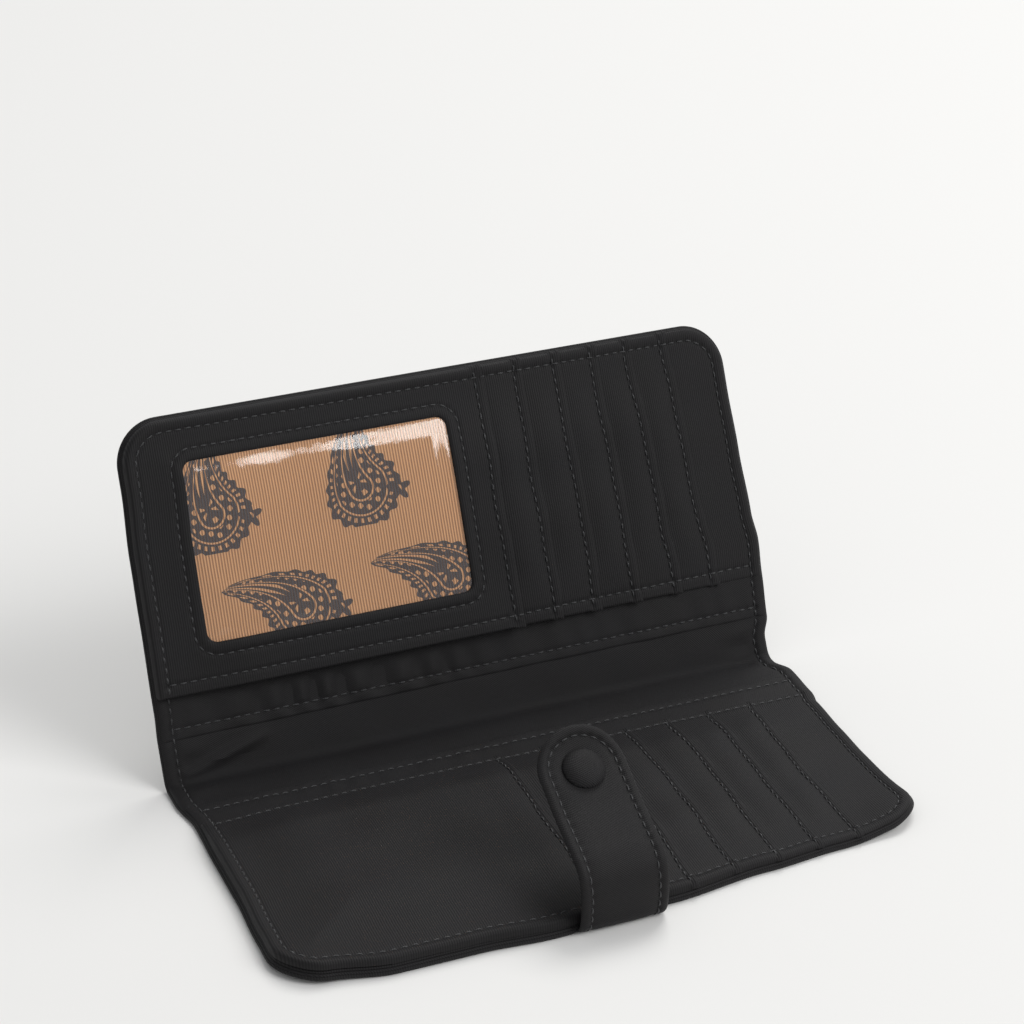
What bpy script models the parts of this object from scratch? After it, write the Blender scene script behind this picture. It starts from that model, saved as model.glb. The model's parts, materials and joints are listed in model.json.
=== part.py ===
"""Long fold-over fabric wallet, opened like an L, with a snap tab.

The lower half lies flat, the spine folds in three places and the upper half leans back.
Each half is a stack of sewn fabric layers: cover, lining, banknote pocket and card pockets.
Lengths are in metres, +Z is up, and the origin is under the middle of the opened wallet.
"""

import math

import bmesh
import bpy
from mathutils import Matrix

# Overall sizes
PANEL_WIDTH = 0.190          # inner panels, left to right
LOWER_CARD_DEPTH = 0.078     # card section of the lower half, front to back
UPPER_CARD_HEIGHT = 0.0766   # card section of the upper half, bottom to top
LOWER_STRIP = 0.0103         # banknote pocket showing behind the lower card section
UPPER_STRIP = 0.0123         # banknote pocket showing under the upper card section
LOWER_HINGE_MARGIN = 0.0015  # bare lining between the lower banknote pocket and its fold
UPPER_HINGE_MARGIN = 0.0016  # the same on the upper half
SPINE_HALF = 0.012           # each half of the spine, from fold to fold
CORNER_RADIUS = 0.012        # rounded free corners of the inner panels
COVER_LIP = 0.001            # how far the cover stands out past the inner panels
LINING_INSET = 0.0005        # how far the lining stays inside the cover's edge

# Angles of the folds
REST_LEAN = math.radians(66)                 # the upper half above the horizontal, at rest
PANEL_FOLD = (math.pi - REST_LEAN) / 2       # turn of each panel fold when the wallet shuts

# Fabric layers
COVER_THICK = 0.0012         # outer cloth bonded to its board
LINING_THICK = 0.0004
BILL_THICK = 0.0004          # banknote pocket
BASE_THICK = 0.00035         # cloth behind the card pockets
CARD_THICK = 0.0003          # one card pocket
LAYER_GAP = 0.0002           # air between two sewn layers
FOLD_GAP = 0.00015           # air on each side of a fold
HEM_WIDTH = 0.0032           # turned-back edge at a pocket's mouth
HEM_RISE = 0.0003            # how much the turned edge adds

# Card pockets, all open to the right
CARD_REACH = 0.075           # depth of a card pocket behind its mouth
LOWER_FIRST_MOUTH = 0.089    # mouth of the wide plain pocket, from the left edge
LOWER_MOUTH_STEP = 0.0134
LOWER_POCKETS = 6
UPPER_FIRST_MOUTH = 0.110    # mouth of the window pocket, from the left edge
UPPER_MOUTH_STEP = 0.0128
UPPER_POCKETS = 5

# Window of the identity-card pocket
WINDOW_LEFT = 0.0165         # from the left edge
WINDOW_RISE = 0.013          # from the card section's bottom edge
WINDOW_WIDTH = 0.080
WINDOW_HEIGHT = 0.051
WINDOW_CORNER = 0.0025
WINDOW_LAP = 0.004           # clear film sewn behind the frame
WINDOW_THICK = 0.00025

# Closing tab
TAB_CENTRE = 0.09            # from the left edge
TAB_WIDTH = 0.025
TAB_THICK = 0.001
FLAP_LENGTH = 0.0358         # from the tab's last fold to its tip
TAB_ARCH = 0.0125            # length over which the tip narrows
TAB_CLEARANCE = 0.0048       # from the shut wallet's edge to the band
TAB_STAND_OFF = 0.0013       # air between the pockets and the pressed tab's underside
TAB_ROOT_LENGTH = 0.024      # strip sewn under the cover, to the band
TAB_ROOT_THICK = 0.0005
TAB_LINK = 0.0022            # short length between two folds
RISER_REST = math.radians(70)  # slope of the springy tab above its band
FLAP_REST = math.radians(28)   # slope of its flap
ARCH_BULGE = 2.0             # shape of the tip: higher is blunter
ARCH_FLARE = 0.5             # shape of the tip: lower is rounder at the point

# Snap fastener
BUTTON_FROM_TIP = 0.0125     # button's centre behind the tip, along the tab
BUTTON_RADIUS = 0.006
BUTTON_HEIGHT = 0.0024
BUTTON_RIM = 0.0009          # height of the button's edge below its dome
SHANK_RADIUS = 0.0014
SOCKET_RADIUS = 0.005
SOCKET_BORE = 0.0023
SOCKET_HEIGHT = 0.001
SOCKET_ROUND = 0.0003
STUD_RADIUS = 0.0019
STUD_NECK = 0.0016
STUD_HEIGHT = 0.0013
STUD_FLANGE_RADIUS = 0.0048
STUD_FLANGE_THICK = 0.0004
STUD_POST_RADIUS = 0.0011
SNAP_GAP = 0.0002            # air between the tab and the metal on it
SEAT_GAP = 0.0003            # air round a piece let into its neighbour

# Modelling values
OVERRUN = 0.001              # how far a cutter passes the face it cuts
WELD_DISTANCE = 0.000001
CORNER_STEPS = 8
ARCH_STEPS = 14
TURN_STEPS = 32
DOME_STEPS = 6

# Places that follow from the sizes
HALF_WIDTH = PANEL_WIDTH / 2
LOWER_BILL_BACK = LOWER_CARD_DEPTH + LOWER_STRIP
LOWER_FOLD = LOWER_BILL_BACK + LOWER_HINGE_MARGIN
UPPER_CARD_START = UPPER_HINGE_MARGIN + UPPER_STRIP
UPPER_END = UPPER_CARD_START + UPPER_CARD_HEIGHT
CREASE = LOWER_FOLD + SPINE_HALF
SHUT_THICKNESS = 2 * SPINE_HALF * math.sin(PANEL_FOLD)

LINING_LEVEL = COVER_THICK + LAYER_GAP
BILL_LEVEL = LINING_LEVEL + LINING_THICK + LAYER_GAP
BASE_LEVEL = BILL_LEVEL + BILL_THICK + LAYER_GAP
POCKET_LEVEL = BASE_LEVEL + BASE_THICK + LAYER_GAP
POCKET_PITCH = CARD_THICK + LAYER_GAP

LOWER_TOP = POCKET_LEVEL + LOWER_POCKETS * POCKET_PITCH + CARD_THICK + HEM_RISE
UPPER_OVERHANG = max(UPPER_END + COVER_LIP - LOWER_FOLD, COVER_LIP)
TAB_UNDERSIDE = LOWER_TOP + TAB_STAND_OFF
BAND_Y = -UPPER_OVERHANG - TAB_CLEARANCE - TAB_THICK / 2
BAND_AXIS_Z = TAB_ROOT_THICK
SNAP_DROP = SNAP_GAP + SOCKET_HEIGHT + SEAT_GAP
SHOULDER_Y = BAND_Y + TAB_THICK / 2
RISER_LENGTH = SHUT_THICKNESS + SNAP_DROP - TAB_UNDERSIDE - TAB_THICK - TAB_LINK
BUTTON_ALONG = FLAP_LENGTH - BUTTON_FROM_TIP
TAB_X = TAB_CENTRE - HALF_WIDTH
STUD_ALONG = LOWER_FOLD - (SHOULDER_Y + TAB_LINK + TAB_THICK + BUTTON_ALONG)

REAR_END = CREASE + (SPINE_HALF + UPPER_END + COVER_LIP) * math.cos(REST_LEAN)
FRONT_END = BAND_Y - TAB_THICK / 2
MIDDLE_Y = (FRONT_END + REAR_END) / 2


# Scene and materials

def clear_scene():
    for thing in list(bpy.data.objects):
        bpy.data.objects.remove(thing, do_unlink=True)


def new_collection(name):
    collection = bpy.data.collections.new(name)
    bpy.context.scene.collection.children.link(collection)
    return collection


def new_material(name, colour, roughness, metallic=0.0, alpha=1.0):
    material = bpy.data.materials.new(name)
    material.use_nodes = True
    shader = material.node_tree.nodes["Principled BSDF"]
    shader.inputs["Base Color"].default_value = (*colour, 1.0)
    shader.inputs["Roughness"].default_value = roughness
    shader.inputs["Metallic"].default_value = metallic
    shader.inputs["Alpha"].default_value = alpha
    material.diffuse_color = (*colour, alpha)
    return material


# Outlines

def arc(centre_x, centre_y, radius, start, end, steps):
    turn = (end - start) / steps
    angles = [start + turn * step for step in range(steps + 1)]
    return [(centre_x + radius * math.cos(a), centre_y + radius * math.sin(a)) for a in angles]


def panel_outline(left, right, front, back, radii):
    """A rectangle whose corners are rounded; radii run front left, front right, back right, back left."""
    quarter = math.pi / 2
    corners = [(left, front, 1, 1), (right, front, -1, 1), (right, back, -1, -1), (left, back, 1, -1)]
    points = []
    for index, ((x, y, inward_x, inward_y), radius) in enumerate(zip(corners, radii)):
        if radius == 0:
            points.append((x, y))
            continue
        start = math.pi + index * quarter
        centre_x = x + inward_x * radius
        centre_y = y + inward_y * radius
        points += arc(centre_x, centre_y, radius, start, start + quarter, CORNER_STEPS)
    return points


def pocket_profile(left, mouth, low):
    """Section of a card pocket: a sheet whose mouth is turned back on itself."""
    fold_radius = (CARD_THICK + HEM_RISE) / 2
    top = low + CARD_THICK
    fold = arc(mouth - fold_radius, low + fold_radius, fold_radius, -math.pi / 2, math.pi / 2, CORNER_STEPS)
    return [(left, low)] + fold + [(mouth - HEM_WIDTH, low + 2 * fold_radius), (mouth - HEM_WIDTH, top), (left, top)]


def flap_outline():
    """Tab from its last fold to its tip: straight sides that close in a blunt arch."""
    assert FLAP_LENGTH - TAB_ARCH > FOLD_GAP, "the tab is too short for its tip"
    half = TAB_WIDTH / 2
    right_side = [(TAB_X + half, FOLD_GAP)]
    for step in range(ARCH_STEPS):
        share = 1 - step / ARCH_STEPS
        width = half * (1 - (1 - share) ** ARCH_BULGE) ** ARCH_FLARE
        right_side.append((TAB_X + width, FLAP_LENGTH - TAB_ARCH * share))
    left_side = [(2 * TAB_X - x, y) for x, y in reversed(right_side)]
    return right_side + [(TAB_X, FLAP_LENGTH)] + left_side


# Solids

def outline_mesh(name, loops, depth):
    """Mesh of a filled outline, centred on its plane; further loops are holes."""
    curve = bpy.data.curves.new(name, "CURVE")
    curve.dimensions = "2D"
    curve.fill_mode = "BOTH"
    curve.extrude = depth / 2
    for loop in loops:
        spline = curve.splines.new("POLY")
        spline.points.add(len(loop) - 1)
        for point, (x, y) in zip(spline.points, loop):
            point.co = (x, y, 0, 1)
        spline.use_cyclic_u = True
    guide = bpy.data.objects.new(name + "_outline", curve)
    bpy.context.scene.collection.objects.link(guide)
    view = bpy.context.evaluated_depsgraph_get()
    mesh = bpy.data.meshes.new_from_object(guide.evaluated_get(view))
    bpy.data.objects.remove(guide, do_unlink=True)
    bpy.data.curves.remove(curve)
    shell = bmesh.new()
    shell.from_mesh(mesh)
    bmesh.ops.remove_doubles(shell, verts=shell.verts, dist=WELD_DISTANCE)
    bmesh.ops.recalc_face_normals(shell, faces=shell.faces)
    shell.to_mesh(mesh)
    shell.free()
    mesh.name = name
    return mesh


class Wallet:
    """Keeps the collections, the materials and the empties that stand on the fold axes."""

    def __init__(self):
        self.parts = new_collection("wallet")
        self.cutters = new_collection("wallet_cutters")
        self.materials = {
            "black_cloth": new_material("black_cloth", (0.024, 0.023, 0.026), 0.62),
            "printed_cloth": new_material("printed_cloth", (0.52, 0.33, 0.19), 0.7),
            "clear_film": new_material("clear_film", (0.8, 0.82, 0.84), 0.08, alpha=0.3),
            "snap_metal": new_material("snap_metal", (0.05, 0.05, 0.055), 0.35, metallic=1.0),
        }
        self.pivots = {}

    def pivot(self, name, x, y, z, lean=0.0, parent=None):
        """An empty on a joint's axis; what hangs from it turns with that joint."""
        empty = bpy.data.objects.new(name + "_axis", None)
        self.parts.objects.link(empty)
        place = Matrix.Translation((x, y, z)) @ Matrix.Rotation(lean, 4, "X")
        if parent:
            empty.parent = self.pivots[parent]
            empty.matrix_basis = place
        else:
            empty.matrix_world = place
        self.pivots[name] = empty
        return empty

    def place(self, name, mesh, body, material):
        thing = bpy.data.objects.new(name, mesh)
        mesh.materials.clear()
        mesh.materials.append(self.materials[material])
        self.parts.objects.link(thing)
        thing.parent = self.pivots[body]
        return thing

    def plate(self, name, body, loops, low, high, material="black_cloth"):
        """A flat layer: its outline lies in the body's plane, between two levels."""
        mesh = outline_mesh(name, loops, high - low)
        mesh.transform(Matrix.Translation((0, 0, (low + high) / 2)))
        return self.place(name, mesh, body, material)

    def extrusion(self, name, body, profile, front, back, material="black_cloth"):
        """A layer whose section across the wallet is given; it runs from front to back."""
        mesh = outline_mesh(name, [profile], back - front)
        upright = Matrix.Rotation(math.pi / 2, 4, "X")
        mesh.transform(Matrix.Translation((0, (front + back) / 2, 0)) @ upright)
        return self.place(name, mesh, body, material)

    def turned(self, name, body, profile, x, y, z, material, closed=False, flip=False):
        """A round piece: the profile, given as radius and height, is turned about its axis."""
        mesh = bpy.data.meshes.new(name)
        count = len(profile)
        edges = [(index, index + 1) for index in range(count - 1)]
        if closed:
            edges.append((count - 1, 0))
        mesh.from_pydata([(radius, 0, height) for radius, height in profile], edges, [])
        thing = self.place(name, mesh, body, material)
        thing.location = (x, y, z)
        if flip:
            thing.rotation_euler = (math.pi, 0, 0)
        screw = thing.modifiers.new("Turn", "SCREW")
        screw.steps = TURN_STEPS
        screw.render_steps = TURN_STEPS
        screw.use_merge_vertices = True
        screw.merge_threshold = WELD_DISTANCE
        screw.use_smooth_shade = False
        return thing

    def cut(self, target, cutter_name, mesh):
        """Takes a cutter out of a piece; the cutter hangs from the same axis."""
        cutter = bpy.data.objects.new(cutter_name, mesh)
        self.cutters.objects.link(cutter)
        cutter.parent = target.parent
        cutter.hide_render = True
        cutter.display_type = "WIRE"
        boolean = target.modifiers.new(cutter_name, "BOOLEAN")
        boolean.operation = "DIFFERENCE"
        boolean.solver = "EXACT"
        boolean.object = cutter
        return cutter


def mitre(thing, end, angle, inward):
    """Slants an end that meets a fold, so that the fold can shut to twice the angle."""
    for vertex in thing.data.vertices:
        if abs(vertex.co.y - end) < WELD_DISTANCE:
            vertex.co.y = end + inward * (FOLD_GAP + vertex.co.z * math.tan(angle))


# Card pockets

def card_pockets(wallet, half, body, first_mouth, step, count, front, back):
    """Staggered pockets: the lowest has its mouth furthest right, and each next one lies over it."""
    for index in range(count):
        mouth = first_mouth + (count - index) * step - HALF_WIDTH
        low = POCKET_LEVEL + index * POCKET_PITCH
        profile = pocket_profile(mouth - CARD_REACH, mouth, low)
        wallet.extrusion(f"{half}_card_pocket_{index + 1}", body, profile, front, back)


def hem_bar(mouth, front, back):
    """Outline of the turned-back edge at a mouth."""
    return panel_outline(mouth - HEM_WIDTH, mouth, front, back, (0, 0, 0, 0))


def hemmed_plate(wallet, name, body, loops, low, high, mouth, front, back):
    """A flat layer with the turned-back edge on top of it, joined into one solid."""
    layer = wallet.plate(name, body, loops, low, high)
    bar = outline_mesh(name + "_hem", [hem_bar(mouth, front, back)], CARD_THICK + HEM_RISE)
    bar.transform(Matrix.Translation((0, 0, low + (CARD_THICK + HEM_RISE) / 2)))
    hem = wallet.cut(layer, name + "_hem", bar)
    layer.modifiers[hem.name].operation = "UNION"
    return layer


# Lower half

def lower_half(wallet):
    body = "lower_panel"
    wallet.pivot(body, 0, -MIDDLE_Y, 0)
    edge = HALF_WIDTH + COVER_LIP
    outer_radius = CORNER_RADIUS + COVER_LIP
    round_front = (1, 1, 0, 0)

    radii = [outer_radius * share for share in round_front]
    outline = panel_outline(-edge, edge, -COVER_LIP, LOWER_FOLD, radii)
    cover = wallet.plate("lower_cover", body, [outline], 0, COVER_THICK)
    mitre(cover, LOWER_FOLD, PANEL_FOLD / 2, -1)
    root_half = TAB_WIDTH / 2 + SEAT_GAP
    root_back = BAND_Y + TAB_ROOT_LENGTH + SEAT_GAP
    recess_outline = panel_outline(
        TAB_X - root_half, TAB_X + root_half, -COVER_LIP - OVERRUN, root_back, (0, 0, 0, 0))
    recess_height = TAB_ROOT_THICK + LAYER_GAP + OVERRUN
    recess = outline_mesh("tab_root_recess", [recess_outline], recess_height)
    recess.transform(Matrix.Translation((0, 0, recess_height / 2 - OVERRUN)))
    wallet.cut(cover, "tab_root_recess", recess)

    lining_edge = edge - LINING_INSET
    radii = [(outer_radius - LINING_INSET) * share for share in round_front]
    outline = panel_outline(-lining_edge, lining_edge, LINING_INSET - COVER_LIP, LOWER_FOLD, radii)
    top = LINING_LEVEL + LINING_THICK
    lining = wallet.plate("lower_lining", body, [outline], LINING_LEVEL, top)
    mitre(lining, LOWER_FOLD, PANEL_FOLD / 2, -1)

    radii = [CORNER_RADIUS * share for share in round_front]
    outline = panel_outline(-HALF_WIDTH, HALF_WIDTH, 0, LOWER_BILL_BACK, radii)
    wallet.plate("lower_banknote_pocket", body, [outline], BILL_LEVEL, BILL_LEVEL + BILL_THICK)

    outline = panel_outline(-HALF_WIDTH, HALF_WIDTH, 0, LOWER_CARD_DEPTH, radii)
    wallet.plate("lower_card_base", body, [outline], BASE_LEVEL, BASE_LEVEL + BASE_THICK)
    card_pockets(wallet, "lower", body, LOWER_FIRST_MOUTH, LOWER_MOUTH_STEP, LOWER_POCKETS,
                 0, LOWER_CARD_DEPTH)

    mouth = LOWER_FIRST_MOUTH - HALF_WIDTH
    radii = (CORNER_RADIUS, 0, 0, 0)
    outline = panel_outline(-HALF_WIDTH, mouth, 0, LOWER_CARD_DEPTH, radii)
    low = POCKET_LEVEL + LOWER_POCKETS * POCKET_PITCH
    hemmed_plate(wallet, "lower_wide_pocket", body, [outline], low, low + CARD_THICK,
                 mouth, 0, LOWER_CARD_DEPTH)


# Spine

def spine(wallet):
    wallet.pivot("spine_lower", 0, LOWER_FOLD - MIDDLE_Y, 0)
    wallet.pivot("spine_upper", 0, SPINE_HALF, 0, REST_LEAN, parent="spine_lower")
    crease_mitre = REST_LEAN / 2
    panel_mitre = PANEL_FOLD / 2
    halves = (("spine_lower", panel_mitre, crease_mitre), ("spine_upper", crease_mitre, panel_mitre))
    lining_top = LINING_LEVEL + LINING_THICK
    cloths = (("cover", 0, COVER_THICK, 0), ("lining", LINING_LEVEL, lining_top, LINING_INSET))
    for body, near_angle, far_angle in halves:
        for cloth, low, high, inset in cloths:
            edge = HALF_WIDTH + COVER_LIP - inset
            outline = panel_outline(-edge, edge, 0, SPINE_HALF, (0, 0, 0, 0))
            layer = wallet.plate(f"{body}_{cloth}", body, [outline], low, high)
            mitre(layer, SPINE_HALF, far_angle, -1)
            mitre(layer, 0, near_angle, 1)


# Upper half

def upper_half(wallet):
    body = "upper_panel"
    wallet.pivot(body, 0, SPINE_HALF, 0, parent="spine_upper")
    edge = HALF_WIDTH + COVER_LIP
    outer_radius = CORNER_RADIUS + COVER_LIP
    round_top = (0, 0, 1, 1)

    radii = [outer_radius * share for share in round_top]
    outline = panel_outline(-edge, edge, 0, UPPER_END + COVER_LIP, radii)
    cover = wallet.plate("upper_cover", body, [outline], 0, COVER_THICK)
    mitre(cover, 0, PANEL_FOLD / 2, 1)

    lining_edge = edge - LINING_INSET
    radii = [(outer_radius - LINING_INSET) * share for share in round_top]
    outline = panel_outline(-lining_edge, lining_edge, 0, UPPER_END + COVER_LIP - LINING_INSET, radii)
    top = LINING_LEVEL + LINING_THICK
    lining = wallet.plate("upper_lining", body, [outline], LINING_LEVEL, top)
    mitre(lining, 0, PANEL_FOLD / 2, 1)

    radii = [CORNER_RADIUS * share for share in round_top]
    outline = panel_outline(-HALF_WIDTH, HALF_WIDTH, UPPER_HINGE_MARGIN, UPPER_END, radii)
    wallet.plate("upper_banknote_pocket", body, [outline], BILL_LEVEL, BILL_LEVEL + BILL_THICK)

    outline = panel_outline(-HALF_WIDTH, HALF_WIDTH, UPPER_CARD_START, UPPER_END, radii)
    wallet.plate("upper_card_base", body, [outline], BASE_LEVEL, BASE_LEVEL + BASE_THICK)
    card_pockets(wallet, "upper", body, UPPER_FIRST_MOUTH, UPPER_MOUTH_STEP, UPPER_POCKETS,
                 UPPER_CARD_START, UPPER_END)
    window_pocket(wallet, body)
    return cover


def window_pocket(wallet, body):
    """Identity-card pocket: a printed back, a clear film and a cloth frame, open to the right."""
    mouth = UPPER_FIRST_MOUTH - HALF_WIDTH
    radii = (0, 0, 0, CORNER_RADIUS)
    outline = panel_outline(-HALF_WIDTH, mouth - HEM_WIDTH, UPPER_CARD_START, UPPER_END, radii)
    back_level = POCKET_LEVEL + UPPER_POCKETS * POCKET_PITCH
    back_top = back_level + CARD_THICK
    wallet.plate("id_backing", body, [outline], back_level, back_top, "printed_cloth")

    left = WINDOW_LEFT - HALF_WIDTH
    right = left + WINDOW_WIDTH
    bottom = UPPER_CARD_START + WINDOW_RISE
    top = bottom + WINDOW_HEIGHT
    film_level = back_top + LAYER_GAP
    film_radius = WINDOW_CORNER + WINDOW_LAP
    outline = panel_outline(left - WINDOW_LAP, right + WINDOW_LAP, bottom - WINDOW_LAP,
                            top + WINDOW_LAP, [film_radius] * 4)
    wallet.plate("id_window", body, [outline], film_level, film_level + WINDOW_THICK, "clear_film")

    frame_level = film_level + WINDOW_THICK + LAYER_GAP
    hole = panel_outline(left, right, bottom, top, [WINDOW_CORNER] * 4)
    outline = panel_outline(-HALF_WIDTH, mouth, UPPER_CARD_START, UPPER_END, radii)
    hemmed_plate(wallet, "id_frame", body, [outline, hole], frame_level, frame_level + CARD_THICK,
                 mouth, UPPER_CARD_START, UPPER_END)


# Closing tab

def tab_strip(wallet, name, body, start, end, low, high):
    """A straight length of the tab, in its body's plane."""
    half = TAB_WIDTH / 2
    outline = panel_outline(TAB_X - half, TAB_X + half, start, end, (0, 0, 0, 0))
    return wallet.plate(name, body, [outline], low, high)


def closing_tab(wallet):
    """The springy tab. Two of its folds are pressed flat by the shutting wallet, and two wrap it round.

    A fold's axis lies on the side of the cloth that it bends towards, so that no length meets the next.
    """
    tab_strip(wallet, "tab_root", "lower_panel", BAND_Y, BAND_Y + TAB_ROOT_LENGTH, 0, TAB_ROOT_THICK)

    wallet.pivot("tab_edge", 0, BAND_Y - MIDDLE_Y, BAND_AXIS_Z)
    band_height = TAB_UNDERSIDE - BAND_AXIS_Z
    tab_strip(wallet, "tab_band", "tab_edge", -TAB_THICK / 2, TAB_THICK / 2, SEAT_GAP, band_height - FOLD_GAP)

    wallet.pivot("tab_shoulder", 0, SHOULDER_Y - BAND_Y, band_height, RISER_REST, parent="tab_edge")
    link_end = TAB_LINK - FOLD_GAP
    tab_strip(wallet, "tab_shoulder", "tab_shoulder", FOLD_GAP, link_end, 0, TAB_THICK)

    wallet.pivot("tab_riser", 0, TAB_LINK, TAB_THICK, parent="tab_shoulder")
    tab_strip(wallet, "tab_riser", "tab_riser", FOLD_GAP, RISER_LENGTH - FOLD_GAP, -TAB_THICK, 0)

    wallet.pivot("tab_knee", 0, RISER_LENGTH, -TAB_THICK, FLAP_REST - RISER_REST, parent="tab_riser")
    tab_strip(wallet, "tab_knee", "tab_knee", FOLD_GAP, link_end, 0, TAB_THICK)

    wallet.pivot("tab_flap", 0, TAB_LINK, 0, parent="tab_knee")
    return wallet.plate("tab_flap", "tab_flap", [flap_outline()], 0, TAB_THICK)


# Snap fastener

def round_cutter(name, radius, low, high, x, y):
    mesh = outline_mesh(name, [arc(0, 0, radius, 0, 2 * math.pi, TURN_STEPS)[:-1]], high - low)
    mesh.transform(Matrix.Translation((x, y, (low + high) / 2)))
    return mesh


def button_profile():
    """Half section of the cloth-covered button: dome, rolled rim and shank."""
    dome = []
    for step in range(DOME_STEPS + 1):
        turn = math.pi / 2 * step / DOME_STEPS
        height = BUTTON_RIM + (BUTTON_HEIGHT - BUTTON_RIM) * math.cos(turn)
        dome.append((BUTTON_RADIUS * math.sin(turn), height))
    rim_inset = BUTTON_RIM / 2
    rim = [(BUTTON_RADIUS - rim_inset, 0), (SHANK_RADIUS, 0)]
    shank_end = SNAP_GAP - TAB_THICK
    return dome + rim + [(SHANK_RADIUS, -SNAP_GAP + shank_end), (0, -SNAP_GAP + shank_end)]


def snap(wallet, flap, cover):
    x = TAB_X
    y = BUTTON_ALONG
    shank_hole = round_cutter("shank_hole", SHANK_RADIUS + SEAT_GAP, -OVERRUN, TAB_THICK + OVERRUN, x, y)
    wallet.cut(flap, "shank_hole", shank_hole)
    wallet.turned("button_cap", "tab_flap", button_profile(), x, y, TAB_THICK + SNAP_GAP, "black_cloth")

    inner = SOCKET_BORE
    outer = SOCKET_RADIUS
    rounded = SOCKET_ROUND
    profile = [(inner, 0), (outer - rounded, 0), (outer, -rounded), (outer, rounded - SOCKET_HEIGHT),
               (outer - rounded, -SOCKET_HEIGHT), (inner + rounded, -SOCKET_HEIGHT), (inner, rounded - SOCKET_HEIGHT)]
    wallet.turned("snap_socket", "tab_flap", profile, x, y, -SNAP_GAP, "snap_metal", closed=True)

    flange_recess = STUD_FLANGE_THICK + SEAT_GAP
    recess = round_cutter("stud_recess", STUD_FLANGE_RADIUS + SEAT_GAP, -OVERRUN, flange_recess, x, STUD_ALONG)
    wallet.cut(cover, "stud_recess", recess)
    hole = round_cutter("stud_hole", STUD_POST_RADIUS + SEAT_GAP, 0, COVER_THICK + OVERRUN, x, STUD_ALONG)
    wallet.cut(cover, "stud_hole", hole)
    neck_height = STUD_HEIGHT / 2
    shoulder = STUD_RADIUS - STUD_NECK
    profile = [(0, STUD_HEIGHT), (STUD_NECK, STUD_HEIGHT), (STUD_RADIUS, STUD_HEIGHT - shoulder),
               (STUD_NECK, neck_height), (STUD_NECK, 0), (STUD_FLANGE_RADIUS, 0),
               (STUD_FLANGE_RADIUS, -STUD_FLANGE_THICK), (STUD_POST_RADIUS, -STUD_FLANGE_THICK),
               (STUD_POST_RADIUS, -COVER_THICK), (0, -COVER_THICK)]
    wallet.turned("snap_stud", "upper_panel", profile, x, STUD_ALONG, 0, "snap_metal", flip=True)


def build():
    clear_scene()
    wallet = Wallet()
    lower_half(wallet)
    spine(wallet)
    cover = upper_half(wallet)
    flap = closing_tab(wallet)
    snap(wallet, flap, cover)


build()
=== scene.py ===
# %% [markdown]
# A long fold-over wallet in black ribbed nylon, standing open like an L.
# The frame gives every sewn layer as a flat plate at its true size and place. Real cloth isn't flat:
# it is pressed where it is sewn, puffs up between the seams, rolls over at its edges and puckers.
# So each layer is remade here as a curved sheet in the same place.

# %% Load the frame
import json
import math

import bpy
import numpy as np
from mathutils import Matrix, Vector

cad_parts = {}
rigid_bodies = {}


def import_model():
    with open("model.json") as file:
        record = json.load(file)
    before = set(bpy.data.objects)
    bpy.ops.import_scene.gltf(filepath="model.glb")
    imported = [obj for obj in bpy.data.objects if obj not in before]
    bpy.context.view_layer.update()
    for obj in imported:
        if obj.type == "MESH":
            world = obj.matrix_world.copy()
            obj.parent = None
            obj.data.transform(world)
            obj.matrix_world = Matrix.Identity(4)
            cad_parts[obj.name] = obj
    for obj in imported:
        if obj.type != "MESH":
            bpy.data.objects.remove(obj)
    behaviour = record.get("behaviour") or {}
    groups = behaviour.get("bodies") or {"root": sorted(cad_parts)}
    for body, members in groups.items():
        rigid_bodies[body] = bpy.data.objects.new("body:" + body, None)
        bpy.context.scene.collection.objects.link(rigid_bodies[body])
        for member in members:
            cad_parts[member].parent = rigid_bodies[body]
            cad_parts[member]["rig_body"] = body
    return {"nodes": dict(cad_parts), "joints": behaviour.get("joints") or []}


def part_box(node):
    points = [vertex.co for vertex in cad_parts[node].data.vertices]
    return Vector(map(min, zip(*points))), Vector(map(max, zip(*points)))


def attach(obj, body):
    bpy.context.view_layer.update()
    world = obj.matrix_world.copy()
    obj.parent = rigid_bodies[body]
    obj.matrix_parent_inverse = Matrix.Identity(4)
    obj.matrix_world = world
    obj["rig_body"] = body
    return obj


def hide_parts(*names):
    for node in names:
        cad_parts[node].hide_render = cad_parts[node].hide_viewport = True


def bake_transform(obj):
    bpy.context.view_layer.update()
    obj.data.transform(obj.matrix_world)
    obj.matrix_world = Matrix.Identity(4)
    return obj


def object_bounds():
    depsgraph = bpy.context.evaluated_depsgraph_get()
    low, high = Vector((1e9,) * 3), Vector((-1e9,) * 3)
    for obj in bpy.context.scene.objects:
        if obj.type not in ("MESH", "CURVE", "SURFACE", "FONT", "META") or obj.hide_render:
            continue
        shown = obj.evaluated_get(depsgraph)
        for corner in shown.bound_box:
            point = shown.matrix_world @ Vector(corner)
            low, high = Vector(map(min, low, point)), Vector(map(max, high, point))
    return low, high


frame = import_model()
cad_low, cad_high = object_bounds()
print("frame", [round(value, 4) for value in (*cad_low, *cad_high)])

# %% [markdown]
# The wallet was cut flat and then folded, so it is easiest to describe flat.
# A place on it has three values: across from the left edge, along from the front edge through the
# spine to the top edge, and the height above the cover's outer face. One function folds that sheet.
# Every measure comes from the frame, so the sheets keep to the plates that they stand for.

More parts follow.
